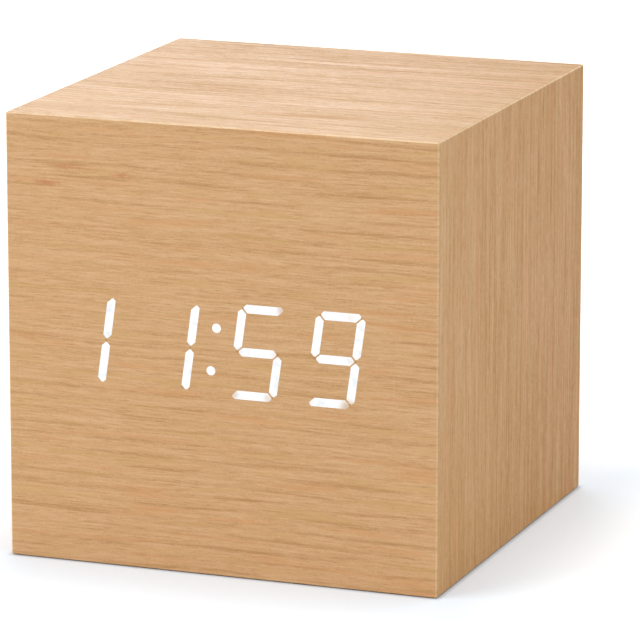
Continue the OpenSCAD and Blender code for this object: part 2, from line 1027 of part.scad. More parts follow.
module base_tray() {
    color("#1b1c1e")
        difference() {
            union() {
                block([-base_half_x, -base_half_y, base_z], [base_half_x, base_half_y, base_top]);
                block([-door_l / 2, -door_w / 2, tub_low], [door_l / 2, door_w / 2, tub_top]);
            }
            difference() {
                block([-tub_l / 2, -tub_w / 2, base_z], [tub_l / 2, tub_w / 2, tub_roof]);
                tub_ribs();
            }
            door_recess();
            for (corner = corners)
                translate([corner.x * corner_x, corner.y * corner_y, 0]) {
                    translate([0, 0, base_z - over])
                        cylinder(d = foot_d + 2 * slide_gap, h = foot_seat + over);
                    translate([0, 0, base_z])
                        cylinder(d = base_screw_head_d + 2 * slide_gap, h = base_screw_seat - base_z);
                    translate([0, 0, base_z])
                        cylinder(d = base_screw_d + 2 * screw_gap, h = base_t + over);
                }
            for (end = [-1, 1])
                contact_tab(end, slide_gap);
        }
}

// Ribs under the roof that keep the cells apart.
module tub_ribs() {
    for (gap = [0 : cell_count - 2])
        translate([0, (cell_place(gap) + cell_place(gap + 1)) / 2, 0])
            block([-cell_l / 3, -rib_t / 2, tub_roof - rib_h], [cell_l / 3, rib_t / 2, tub_roof + over]);
}

// Room for the door, for its hinge pins and for a thumb at its latch.
module door_recess() {
    half_l = door_l / 2 + door_gap;
    half_w = door_w / 2 + door_gap;
    pin_reach = door_w / 2 + pin_l + inlay_gap;
    block([-half_l, -half_w, base_z - over], [half_l, half_w, tub_low]);
    bar_y(hinge_x, hinge_z, -pin_reach, pin_reach, pin_d + 2 * slide_gap);
    block(
        [half_l - over, -thumb_w / 2, base_z - over],
        [half_l + thumb_reach, thumb_w / 2, base_z + thumb_depth]
    );
}

module base_screws() {
    color("#b9bcc0")
        for (corner = corners)
            translate([corner.x * corner_x, corner.y * corner_y, base_screw_seat])
                screw(
                    base_screw_d,
                    base_top - base_screw_seat + base_screw_bite,
                    base_screw_head_d,
                    base_screw_head_h
                );
}

// A foot is a disc with a bevelled lower rim.
module rubber_feet() {
    bevel = 0.3;
    color("#3a3a3a")
        for (corner = corners)
            translate([corner.x * corner_x, corner.y * corner_y, 0])
                rotate_extrude()
                    polygon([
                        [0, 0],
                        [foot_d / 2 - bevel, 0],
                        [foot_d / 2, bevel],
                        [foot_d / 2, base_z + foot_seat],
                        [0, base_z + foot_seat]
                    ]);
}

// The door turns on two moulded pins at its left end and snaps in with a springy latch at its right end.
module battery_door() {
    right = door_l / 2;
    color("#202124")
        difference() {
            union() {
                slab_y(-door_w / 2, door_w) {
                    translate([hinge_x, base_z])
                        square([right - hinge_x, door_t]);
                    translate([hinge_x, hinge_z])
                        circle(d = door_t);
                }
                bar_y(hinge_x, hinge_z, -door_w / 2 - pin_l, door_w / 2 + pin_l, pin_d);
                block(
                    [right - over, -latch_w / 2, base_z + door_t / 3],
                    [right + latch_nib, latch_w / 2, base_z + door_t * 2 / 3]
                );
            }
            for (side = [-1, 1])
                translate([right - latch_l, side * (latch_w + latch_slit) / 2, base_z - over])
                    translate([0, -latch_slit / 2, 0])
                        cube([latch_l + over, latch_slit, door_t + 2 * over]);
            for (grip = [0 : grip_count - 1])
                block(
                    [right - latch_edge - grip * grip_pitch - grip_w, -grip_half_w, base_z - over],
                    [right - latch_edge - grip * grip_pitch, grip_half_w, base_z + grip_depth]
                );
        }
}

module battery_cells() {
    edge = 0.4;
    can_l = cell_l - terminal_h;
    color("#c98a3c")
        for (index = [0 : cell_count - 1])
            translate([0, cell_place(index), cell_z])
                rotate([0, 90 * cell_way(index), 0])
                    translate([0, 0, tub_l / 2 - contact_t - cell_l])
                        rotate_extrude()
                            polygon([
                                [0, 0],
                                [cell_d / 2 - edge, 0],
                                [cell_d / 2, edge],
                                [cell_d / 2, can_l - edge],
                                [cell_d / 2 - edge, can_l],
                                [terminal_d / 2, can_l],
                                [terminal_d / 2, cell_l],
                                [0, cell_l]
                            ]);
}

// A point of the spring's centre line: it rises from z = 0 and narrows as it turns.
function spring_point(turn) =
    let (radius = spring_wide_r - spring_shrink * turn)
    [radius * cos(360 * turn), radius * sin(360 * turn), spring_rise * turn];

// Rings of a round tube along a line of points that is nowhere upright, each ring square to the line there.
function tube_rings(points, radius, sides) =
    let (last = len(points) - 1)
    [for (i = [0 : last])
        let (along = points[min(i + 1, last)] - points[max(i - 1, 0)])
        let (ahead = along / norm(along))
        let (aside = cross([0, 0, 1], ahead))
        let (across = aside / norm(aside))
        let (upward = cross(ahead, across))
        [for (k = [0 : sides - 1])
            points[i] + radius * (cos(360 * k / sides) * across + sin(360 * k / sides) * upward)]];

// One unbroken tube with flat ends along a line of points.
module tube(points, d, sides) {
    rings = tube_rings(points, d / 2, sides);
    last = len(rings) - 1;
    walls = [for (i = [0 : last - 1], k = [0 : sides - 1])
        let (here = i * sides + k)
        let (next = i * sides + (k + 1) % sides)
        each [[here, here + sides, next + sides], [here, next + sides, next]]];
    first_end = [for (k = [0 : sides - 1]) k];
    last_end = [for (k = [sides - 1 : -1 : 0]) last * sides + k];
    polyhedron([for (ring = rings) each ring], concat(walls, [first_end, last_end]));
}

module contact_springs() {
    color("#cfd2d4")
        for (index = [0 : cell_count - 1])
            translate([0, cell_place(index), cell_z])
                rotate([0, 90 * cell_way(index), 0])
                    translate([0, 0, contact_t + contact_fit + spring_wire / 2 - tub_l / 2])
                        tube(spring_points, spring_wire, spring_sides);
}

// Each contact plate joins the ends of neighbouring cells. The first and the last one carry a solder tab.
module contact_plates() {
    last = cell_count - 1;
    color("#d4d6d8")
        for (end = [-1, 1]) {
            first_joined = end > 0 ? 1 : 0;
            for (index = [first_joined : 2 : last - 1])
                contact_strip(end, cell_place(index), cell_place(index + 1));
            lone = end > 0 ? 0 : last;
            contact_strip(end, cell_place(lone), cell_place(lone));
            contact_tab(end, 0);
        }
}

module contact_strip(end, from, to) {
    outer = end * tub_l / 2;
    inner = end * (tub_l / 2 - contact_t);
    block(
        [min(outer, inner), from - contact_w / 2, cell_z - contact_h / 2],
        [max(outer, inner), to + contact_w / 2, cell_z + contact_h / 2]
    );
}

function tab_y(end) = end > 0 ? cell_place(0) : cell_place(cell_count - 1);

// Solder tab of a contact plate, through the roof of the compartment; grown, it cuts its own slot.
module contact_tab(end, grow) {
    outer = end * (tub_l / 2 + grow);
    inner = end * (tub_l / 2 - contact_t - grow);
    block(
        [min(outer, inner), tab_y(end) - tab_w / 2 - grow, cell_z],
        [max(outer, inner), tab_y(end) + tab_w / 2 + grow, tub_top + tab_rise]
    );
}

// Wiring

module link_headers() {
    color("#e9e6da") {
        translate([link_x, display_pcb_back, link_front.y])
            block([-header_w / 2, 0, -header_h / 2], [header_w / 2, header_t, header_h / 2]);
        translate([link_x, key_pcb_inner - header_t, link_back.y])
            block([-header_w / 2, 0, -header_h / 2], [header_w / 2, header_t, header_h / 2]);
    }
}

module link_plugs() {
    color("#f2efe6") {
        translate([link_x, link_front.x - plug_t, link_front.y])
            block([-plug_w / 2, 0, -plug_h / 2], [plug_w / 2, plug_t, plug_h / 2]);
        translate([link_x, link_back.x, link_back.y])
            block([-plug_w / 2, 0, -plug_h / 2], [plug_w / 2, plug_t, plug_h / 2]);
    }
}

// Height of the ribbon's middle line at a share of its way; it leaves both plugs level.
function ribbon_height(share) =
    link_front.y + (link_back.y - link_front.y) * (1 - cos(180 * share)) / 2
    + ribbon_bow * (1 - cos(360 * share)) / 2;

module ribbon_cable() {
    line = [for (i = [0 : ribbon_steps])
        [link_front.x + (link_back.x - link_front.x) * i / ribbon_steps, ribbon_height(i / ribbon_steps)]];
    lower = [for (point = line) point - [0, ribbon_t / 2]];
    upper = [for (i = [ribbon_steps : -1 : 0]) line[i] + [0, ribbon_t / 2]];
    color("#9aa0a6")
        slab_x(link_x - ribbon_w / 2, ribbon_w)
            polygon(concat(lower, upper));
}

// A smooth line that passes through every one of the stops.
function smooth_line(stops) =
    let (last = len(stops) - 1)
    [for (i = [0 : last - 1], j = [0 : lead_steps - 1])
        let (before = stops[max(i - 1, 0)])
        let (from = stops[i])
        let (to = stops[i + 1])
        let (after = stops[min(i + 2, last)])
        let (t = j / lead_steps)
        from + t / 2 * (to - before)
        + t * t / 2 * (2 * before - 5 * from + 4 * to - after)
        + t * t * t / 2 * (3 * from - before - 3 * to + after),
        stops[last]];

// A battery lead: from its solder tab along the compartment's roof to the key board, both ends straight.
module lead(end) {
    lay_z = tub_top + tab_rise / 2;
    tab_x = tub_l / 2 - contact_t;
    solder_z = control_z - key_pcb_h / 4;
    turn_y = key_pcb_inner - lead_turn;
    stops = concat(
        [for (step = [0, 1, 2]) [end * (tab_x - step * lead_straight), tab_y(end), lay_z]],
        [
            [end * (lead_x + lead_straight), (2 * tab_y(end) + turn_y) / 3, lay_z + lead_d / 2],
            [end * lead_x, turn_y, (2 * solder_z + lay_z) / 3]
        ],
        [for (step = [2, 1, 0]) [end * lead_x, key_pcb_inner - step * lead_straight, solder_z]]
    );
    tube(smooth_line(stops), lead_d, lead_sides);
}

module plus_lead() {
    color("#a8231f")
        lead(1);
}

module minus_lead() {
    color("#202022")
        lead(-1);
}

front_veneer();
wrap_veneer();
back_veneer();
front_board();
top_board();
left_board();
right_board();
back_board();
corner_blocks();
lit_segments();
diffuser_sheet();
light_box();
segment_lamps();
display_board();
display_spacers();
display_screws();
controller_chip();
clock_crystal();
coin_cell_holder();
coin_cell();
coin_cell_clip();
buzzer();
microphone();
thermistor();
control_plate();
control_plate_screws();
set_button();
up_button();
down_button();
set_plunger();
up_plunger();
down_plunger();
key_switches();
key_board();
key_board_screws();
power_inlet();
power_inlet_pin();
base_tray();
base_screws();
rubber_feet();
battery_door();
battery_cells();
contact_springs();
contact_plates();
link_headers();
link_plugs();
ribbon_cable();
plus_lead();
minus_lead();
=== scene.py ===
"""Looks of a cube-shaped wooden alarm clock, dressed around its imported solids.

Metres throughout. The origin is on the table under the middle of the cube, +Z is up and the display faces -Y.
"""

import logging
import math
from collections.abc import Iterable, Mapping, Sequence
from dataclasses import dataclass
from enum import Enum
from functools import cache
from typing import Any, ClassVar, Union

import bmesh
import bpy
from mathutils import Matrix, Vector
from mathutils.geometry import interpolate_bezier


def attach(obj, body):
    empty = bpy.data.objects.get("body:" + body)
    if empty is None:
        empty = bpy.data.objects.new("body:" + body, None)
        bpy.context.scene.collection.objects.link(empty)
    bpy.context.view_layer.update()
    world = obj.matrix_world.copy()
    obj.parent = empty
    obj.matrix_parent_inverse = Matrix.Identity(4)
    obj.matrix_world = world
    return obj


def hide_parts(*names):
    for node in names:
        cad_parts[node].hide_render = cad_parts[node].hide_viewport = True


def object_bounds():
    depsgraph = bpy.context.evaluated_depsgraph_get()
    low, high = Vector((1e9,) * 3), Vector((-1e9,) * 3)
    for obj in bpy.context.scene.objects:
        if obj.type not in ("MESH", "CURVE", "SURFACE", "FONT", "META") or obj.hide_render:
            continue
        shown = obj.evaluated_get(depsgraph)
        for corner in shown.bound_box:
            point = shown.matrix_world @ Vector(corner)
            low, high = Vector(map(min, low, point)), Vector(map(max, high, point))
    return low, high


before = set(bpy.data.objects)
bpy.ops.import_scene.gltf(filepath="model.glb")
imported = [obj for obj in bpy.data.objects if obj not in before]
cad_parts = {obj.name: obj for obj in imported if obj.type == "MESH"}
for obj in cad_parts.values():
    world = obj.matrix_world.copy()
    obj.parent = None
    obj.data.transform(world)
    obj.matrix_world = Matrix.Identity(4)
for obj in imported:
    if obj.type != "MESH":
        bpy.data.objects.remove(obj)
CAD_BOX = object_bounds()

Colour = tuple[float, float, float]
Spot = tuple[float, float]
# Where a soft mask is 0, then where it is 1
Span = tuple[float, float]
# What a sum starts from, then the weight of each value in it
Weights = tuple[float, ...]
# What goes into a socket: a constant or another node's output
Feed = Union[float, Sequence[float], "Value"]
Feeds = Mapping[Union[int, str], Feed]

LOG = logging.getLogger("wooden_clock")
MM = 0.001
UPWARD = Vector((0.0, 0.0, 1.0))
PURE_WHITE: Colour = (1.0, 1.0, 1.0)


class Body(Enum):
    """The bodies that added pieces ride on."""

    CASE = "case"
    SET_KEY = "set_key"
    UP_KEY = "up_key"
    DOWN_KEY = "down_key"


class Axis(Enum):
    """The axes of the shared frame, by their numbers."""

    X = 0
    Y = 1
    Z = 2


class GrainRun(Enum):
    """Which way the grain of a veneer sheet runs."""

    ACROSS_FRONT = "left to right on the front"
    OVER_TOP = "up one side, over the top and down the other side"
    ACROSS_BACK = "left to right on the back"


class KeyMark(Enum):
    """What is printed on a button."""

    RING = "ring"
    UP = "triangle that points up"
    DOWN = "triangle that points down"


class Value:
    """An output of a node; sums with it are written in plain signs."""

    def __init__(self, graph: "Graph", socket: bpy.types.NodeSocket) -> None:
        """Keeps the socket, and the graph that it is in."""
        self.graph = graph
        self.socket = socket

    def __add__(self, other: Feed) -> "Value":
        """Returns the sum."""
        return self.graph.math("ADD", self, other)

    def __sub__(self, other: Feed) -> "Value":
        """Returns the difference."""
        return self.graph.math("SUBTRACT", self, other)

    def __mul__(self, other: Feed) -> "Value":
        """Returns the product."""
        return self.graph.math("MULTIPLY", self, other)

    def __truediv__(self, other: Feed) -> "Value":
        """Returns the quotient."""
        return self.graph.math("DIVIDE", self, other)

    def __abs__(self) -> "Value":
        """Returns the value without its sign."""
        return self.graph.math("ABSOLUTE", self)

    def larger(self, other: "Value") -> "Value":
        """Returns the larger of two values."""
        return self.graph.math("MAXIMUM", self, other)

    def near(self, other: float, reach: float) -> "Value":
        """Returns 1 where the value is within reach of a number, and 0 elsewhere."""
        return self.graph.math("COMPARE", self, other, reach)

    def ease(self, span: Span) -> "Value":
        """Returns a soft mask: 0 at the span's first end, 1 at its second."""
        feeds = {"Value": self, "From Min": span[0], "From Max": span[1]}
        return self.graph.read("Result", "ShaderNodeMapRange", feeds, interpolation_type="SMOOTHSTEP")


class Graph:
    """Adds nodes and links to one node tree."""

    def __init__(self, tree: bpy.types.NodeTree) -> None:
        """Keeps the tree that the nodes go into."""
        self.tree = tree

    def node(self, kind: str, feeds: Feeds, **settings: Any) -> bpy.types.Node:
        """Adds a node. A constant colour gets full alpha.

        Args:
            kind: The node's type.
            feeds: Outputs or constants for its inputs, by name or number.
            settings: Properties to set on it.

        Returns:
            The new node.
        """
        made = self.tree.nodes.new(kind)
        for name, setting in settings.items():
            setattr(made, name, setting)
        for name, value in feeds.items():
            socket = made.inputs[name]
            if isinstance(value, Value):
                self.tree.links.new(value.socket, socket)
            else:
                socket.default_value = (*value, 1.0) if socket.type == "RGBA" else value
        return made

    def read(self, output: Union[int, str], kind: str, feeds: Feeds, **settings: Any) -> Value:
        """Adds a node and returns one of its outputs."""
        return Value(self, self.node(kind, feeds, **settings).outputs[output])

    def math(self, operation: str, *values: Feed) -> Value:
        """Returns the result of one step of arithmetic."""
        return self.read(0, "ShaderNodeMath", dict(enumerate(values)), operation=operation)

    def weigh(self, weights: Weights, *values: Value) -> Value:
        """Adds up values.

        Args:
            weights: What the sum starts from, then the weight of each value.
            values: The values.

        Returns:
            The sum.
        """
        total = weights[0]
        for weight, value in zip(weights[1:], values):
            total = self.math("MULTIPLY_ADD", value, weight, total)
        return total

    def vector(self, *parts: Feed) -> Value:
        """Returns three values joined to a vector."""
        return self.read(0, "ShaderNodeCombineXYZ", dict(enumerate(parts)))

    def distance(self, across: Value, up: Value) -> Value:
        """Returns how far two steps at right angles lead together."""
        steps = {0: self.vector(across, up, 0.0)}
        return self.read("Value", "ShaderNodeVectorMath", steps, operation="LENGTH")

    def parts(self, vector: Value) -> list[Value]:
        """Returns x, y and z of a vector."""
        return [Value(self, part) for part in self.node("ShaderNodeSeparateXYZ", {0: vector}).outputs]

    def point(self) -> Value:
        """Returns the surface point in the object's own frame, in metres."""
        return self.read("Object", "ShaderNodeTexCoord", {})

    def place(self) -> list[Value]:
        """Returns x, y and z of the surface point."""
        return self.parts(self.point())

    def facing(self) -> list[Value]:
        """Returns x, y and z of the surface's normal in the object's own frame."""
        return self.parts(self.read("Normal", "ShaderNodeTexCoord", {}))

    def noise(self, point: Feed, scale: Feed, detail: float = 2.0, rough: float = 0.5) -> Value:
        """Returns soft noise around one half; rough is the weight of the finer layers that detail adds."""
        feeds = {"Vector": point, "Scale": scale, "Detail": detail, "Roughness": rough}
        return self.read("Fac", "ShaderNodeTexNoise", feeds)

    def blend(self, share: Feed, first: Feed, second: Feed) -> Value:
        """Returns a mix of two colours, the first at share 0 and the second at share 1."""
        return self.read(2, "ShaderNodeMix", {0: share, 6: first, 7: second}, data_type="RGBA")

    def coats(self, colour: Feed, coats: Iterable[tuple[Feed, Feed]]) -> Feed:
        """Lays coats over a colour.

        Args:
            colour: What is under them.
            coats: Pairs of a mask and a colour, in the order in which they are laid.

        Returns:
            The colour that shows.
        """
        for mask, coat in coats:
            colour = self.blend(mask, colour, coat)
        return colour

    def ramp(self, value: Feed, stops: Sequence[tuple[float, Colour]]) -> Value:
        """Turns a value into a colour.

        Args:
            value: Place on the ramp, 0 to 1.
            stops: Places on the ramp and their colours.

        Returns:
            The colour.
        """
        made = self.node("ShaderNodeValToRGB", {"Fac": value})
        points = made.color_ramp.elements
        while len(points) < len(stops):
            points.new(1.0)
        for point, (place, colour) in zip(points, stops):
            point.position = place
            point.color = (*colour, 1.0)
        return Value(self, made.outputs["Color"])

    def bump(self, height: Feed, depth: float) -> Value:
        """Returns the normal of a relief; a height of 1 stands for this many metres."""
        feeds = {"Strength": 1.0, "Distance": depth, "Height": height}
        return self.read("Normal", "ShaderNodeBump", feeds)

    def effect(self, effect: "Effect", **values: Feed) -> dict[str, Value]:
        """Places a shared node group and returns its outputs by name."""
        made = self.node("ShaderNodeGroup", values, node_tree=effect.tree())
        return {socket.name: Value(self, socket) for socket in made.outputs}

    def seen(self) -> Value:
        """Finds the rays that carry what the eye sees, straight, in a reflection or through glass.

        Returns:
            The mask of those rays.
        """
        rays = self.node("ShaderNodeLightPath", {}).outputs
        names = ("Is Camera Ray", "Is Glossy Ray", "Is Transmission Ray")
        camera, glossy, through = (Value(self, rays[name]) for name in names)
        return camera + glossy + through


@dataclass(frozen=True)
class Effect:
    """A node group of plain values that finishes share."""

    name: str
    inputs: tuple[str, ...] = ()

    @cache
    def tree(self) -> bpy.types.NodeTree:
        """Builds the node group at its first use.

        Returns:
            The node group.
        """
        made = bpy.data.node_groups.new(self.name, "ShaderNodeTree")
        graph = Graph(made)
        for name in self.inputs:
            made.interface.new_socket(name, in_out="INPUT", socket_type="NodeSocketFloat")
        source = graph.node("NodeGroupInput", {}).outputs
        outputs = self.build(graph, {name: Value(graph, source[name]) for name in self.inputs})
        for name in outputs:
            made.interface.new_socket(name, in_out="OUTPUT", socket_type="NodeSocketFloat")
        graph.node("NodeGroupOutput", outputs)
        return made

    def build(self, graph: Graph, given: dict[str, Value]) -> Feeds:
        """Builds what is in the group.

        Args:
            graph: The group's nodes.
            given: Its inputs by name.

        Returns:
            Its outputs by name.
        """
        raise NotImplementedError


@dataclass(frozen=True)
class Layer:
    """A layer of grain: length and width of its lumps in millimetres, its place in the noise, its detail."""

    length: float
    width: float
    depth: float
    detail: float = 1.0


@dataclass(frozen=True)
class Grain(Effect):
    """Fine straight grain, from broad bands and ring lines down to pores and flecks, in millimetres."""

    name: str = "wood_grain"
    inputs: tuple[str, ...] = ("Along", "Across", "Sheet", "Rings", "Bands", "Streaks", "Lines")
    rough: float = 0.55
    sways: Layer = Layer(40.0, 12.0, 0.0)
    sway_reach: float = 1.2
    bands: Layer = Layer(60.0, 3.6, 3.1, 2.0)
    streaks: Layer = Layer(26.0, 0.95, 7.7)
    lines: Layer = Layer(14.0, 0.36, 11.3)
    hairs: Layer = Layer(9.0, 0.24, 59.1)
    hair_mask: Span = (0.08, 0.26)
    fibres: Layer = Layer(2.4, 0.17, 17.9, 2.0)
    tooth: Layer = Layer(0.45, 0.2, 47.3)
    pores: Layer = Layer(2.8, 0.24, 23.4)
    pore_mask: Span = (0.13, 0.27)
    pit_mask: Span = (0.12, 0.26)
    flecks: Layer = Layer(1.7, 0.22, 31.6)
    fleck_mask: Span = (0.14, 0.27)
    flushes: Layer = Layer(20.0, 1.6, 29.2, 2.0)
    flush_mask: Span = (0.04, 0.22)
    gold_mask: Span = (-0.04, -0.22)
    ring_pitch: float = 1.9
    ring_shifts: Layer = Layer(34.0, 5.0, 37.0)
    ring_shift: float = 1.3
    ring_crest: Span = (0.3, 1.0)
    ring_breaks: Layer = Layer(18.0, 1.3, 41.5)
    ring_break_mask: Span = (-0.16, 0.16)
    ring_fields: Layer = Layer(55.0, 20.0, 53.0)
    ring_field_mask: Span = (-0.2, 0.12)
    ring_weights: Weights = (0.3, 0.7)
    tone_weights: Weights = (0.5, -0.2, 1.1, 0.6)
    height_weights: Weights = (0.5, 0.35, 0.65, -0.5)

    def build(self, graph: Graph, given: dict[str, Value]) -> Feeds:
        """Adds up the layers of the grain.

        Args:
            graph: The group's nodes.
            given: Its inputs by name, with places in metres.

        Returns:
            Its outputs by name.
        """
        along = given["Along"] / MM
        straight = given["Across"] / MM

        def lumps(layer: Layer, across: Value) -> Value:
            """Returns the noise of a layer, around zero."""
            point = graph.vector(along / layer.length, across / layer.width, given["Sheet"] + layer.depth)
            return graph.noise(point, 1.0, layer.detail, self.rough) - 0.5

        across = lumps(self.sways, straight) * self.sway_reach + straight
        lines = lumps(self.lines, across)
        hairs = lumps(self.hairs, across).ease(self.hair_mask)
        fibres = lumps(self.fibres, across)
        pores = lumps(self.pores, across)
        flushes = lumps(self.flushes, across)
        turns = lumps(self.ring_shifts, across) * self.ring_shift + across / self.ring_pitch
        rings = graph.math("SINE", turns * (2 * math.pi)).ease(self.ring_crest)
        rings = rings * lumps(self.ring_breaks, across).ease(self.ring_break_mask)
        ringed = lumps(self.ring_fields, straight).ease(self.ring_field_mask)
        rings = rings * graph.weigh(self.ring_weights, ringed)
        tone = graph.weigh(self.tone_weights, hairs, fibres, lumps(self.tooth, across))
        tone = tone + lumps(self.bands, across) * given["Bands"] - rings * given["Rings"]
        return {
            "Tone": tone + lumps(self.streaks, across) * given["Streaks"] + lines * given["Lines"],
            "Pore": pores.ease(self.pore_mask),
            "Fleck": lumps(self.flecks, across).ease(self.fleck_mask),
            "Flush": flushes.ease(self.flush_mask),
            "Gold": flushes.ease(self.gold_mask),
            "Height": graph.weigh(self.height_weights, lines, fibres, pores.ease(self.pit_mask)),
        }


@dataclass(frozen=True)
class Speckle(Effect):
    """Pressed wood fibres: short pale and dark flecks that lie every way."""

    name: str = "pressed_fibre_speckle"
    cell_scale: float = 2600.0
    coarse_scale: float = 420.0
    coarse_detail: float = 4.0
    fine_scale: float = 5200.0
    rough: float = 0.6
    fleck_mask: Span = (0.15, 0.75)
    shade_weights: Weights = (0.22, 0.8, 0.5, 0.25)
    height_weights: Weights = (0.0, 0.6, 0.4)

    def build(self, graph: Graph, given: dict[str, Value]) -> Feeds:
        """Adds flecks to coarse and fine noise.

        Args:
            graph: The group's nodes.
            given: Its inputs, of which there are none.

        Returns:
            Its outputs by name.
        """
        point = graph.point()
        cells = {"Vector": point, "Scale": self.cell_scale}
        flecks = graph.read("Distance", "ShaderNodeTexVoronoi", cells).ease(self.fleck_mask)
        coarse = graph.noise(point, self.coarse_scale, self.coarse_detail, self.rough)
        fine = graph.noise(point, self.fine_scale, rough=self.rough)
        return {
            "Shade": graph.weigh(self.shade_weights, coarse, fine, flecks),
            "Height": graph.weigh(self.height_weights, fine, flecks),
        }


@dataclass(frozen=True)
class MouldedSkin(Effect):
    """Spark-eroded skin of a moulded piece: fine pits, and a cloudy change of gloss."""

    name: str = "moulded_skin"
    inputs: tuple[str, ...] = ("Pits",)
    detail: float = 3.0
    pit_rough: float = 0.65
    cloud_scale: float = 160.0
    shade_weights: Weights = (0.6, 0.3, 0.5)
    gloss_weights: Weights = (-0.4, 0.5, 0.3)

    def build(self, graph: Graph, given: dict[str, Value]) -> Feeds:
        """Mixes clouds and pits.

        Args:
            graph: The group's nodes.
            given: Its inputs by name.

        Returns:
            Its outputs by name.
        """
        point = graph.point()
        clouds = graph.noise(point, self.cloud_scale, self.detail)
        pits = graph.noise(point, given["Pits"], self.detail, self.pit_rough)
        return {
            "Shade": graph.weigh(self.shade_weights, clouds, pits),
            "Gloss": graph.weigh(self.gloss_weights, clouds, pits),
            "Height": pits,
        }


@dataclass(frozen=True)
class RolledLines(Effect):
    """Fine lines that rolling or turning leaves on bare metal, and faint stains."""

    name: str = "rolled_metal_lines"
    inputs: tuple[str, ...] = ("Along", "Across")
    along_scale: float = 180.0
    across_scale: float = 6500.0
    detail: float = 3.0
    line_rough: float = 0.6
    stain_scale: float = 340.0
    shade_weights: Weights = (0.7, 0.25, 0.35)
    gloss_weights: Weights = (-0.3, 0.25, 0.35)

    def build(self, graph: Graph, given: dict[str, Value]) -> Feeds:
        """Mixes lines and stains.

        Args:
            graph: The group's nodes.
            given: Its inputs by name.

        Returns:
            Its outputs by name.
        """
        point = graph.vector(given["Along"] * self.along_scale, given["Across"] * self.across_scale, 0.0)
        lines = graph.noise(point, 1.0, self.detail, self.line_rough)
        stains = graph.noise(graph.point(), self.stain_scale, self.detail)
        return {
            "Shade": graph.weigh(self.shade_weights, lines, stains),
            "Gloss": graph.weigh(self.gloss_weights, lines, stains),
            "Height": lines,
        }


@dataclass(frozen=True)
class EdgeWear(Effect):
    """Rubbed edges: where a rounded normal leaves the face's own normal, broken up by noise."""

    name: str = "edge_wear"
    inputs: tuple[str, ...] = ("Width",)
    samples: int = 4
    likeness: Span = (0.995, 0.8)
    patch_scale: float = 900.0
    patch_detail: float = 3.0
    patch_rough: float = 0.6
    patch_mask: Span = (0.35, 0.65)

    def build(self, graph: Graph, given: dict[str, Value]) -> Feeds:
        """Masks the edges and breaks the mask up.

        Args:
            graph: The group's nodes.
            given: Its inputs by name.

        Returns:
            Its outputs by name.
        """
        rounded = graph.read("Normal", "ShaderNodeBevel", {"Radius": given["Width"]}, samples=self.samples)
        flat = graph.read("True Normal", "ShaderNodeNewGeometry", {})
        alike = graph.read("Value", "ShaderNodeVectorMath", {0: rounded, 1: flat}, operation="DOT_PRODUCT")
        patches = graph.noise(graph.point(), self.patch_scale, self.patch_detail, self.patch_rough)
        return {"Wear": alike.ease(self.likeness) * patches.ease(self.patch_mask)}


def shaded(colour: Colour, share: float, more: float = 0.0) -> Colour:
    """Returns a colour made darker or paler, at most 1 in each part."""
    return tuple(min(part * share + more, 1.0) for part in colour)


@dataclass(frozen=True)
class Finish:
    """What a surface is made of; each kind of finish paints its own nodes."""

    name: str

    @cache
    def material(self) -> bpy.types.Material:
        """Makes the material at its first use.

        Returns:
            The material.
        """
        made = bpy.data.materials.new(self.name)
        made.use_nodes = True
        made.node_tree.nodes.clear()
        graph = Graph(made.node_tree)
        surface = graph.read("BSDF", "ShaderNodeBsdfPrincipled", self.paint(graph))
        graph.node("ShaderNodeOutputMaterial", {"Surface": surface})
        return made

    def paint(self, graph: Graph) -> Feeds:
        """Builds the nodes that feed the shader.

        Args:
            graph: The material's nodes.

        Returns:
            The shader's inputs by name.
        """
        raise NotImplementedError


@dataclass(frozen=True)
class Blot:
    """A soft oval on the front: its middle, length and width, how much of it shows, and its soft edge."""

    x: float
    z: float
    length: float
    width: float
    share: float
    edge: Span = (0.5, 0.1)

    def mask(self, graph: Graph, across: Value, up: Value) -> Value:
        """Returns the mask of the oval, from a place on the front."""
        spread = graph.distance((across - self.x) / self.length, (up - self.z) / self.width)
        return spread.ease(self.edge) * self.share


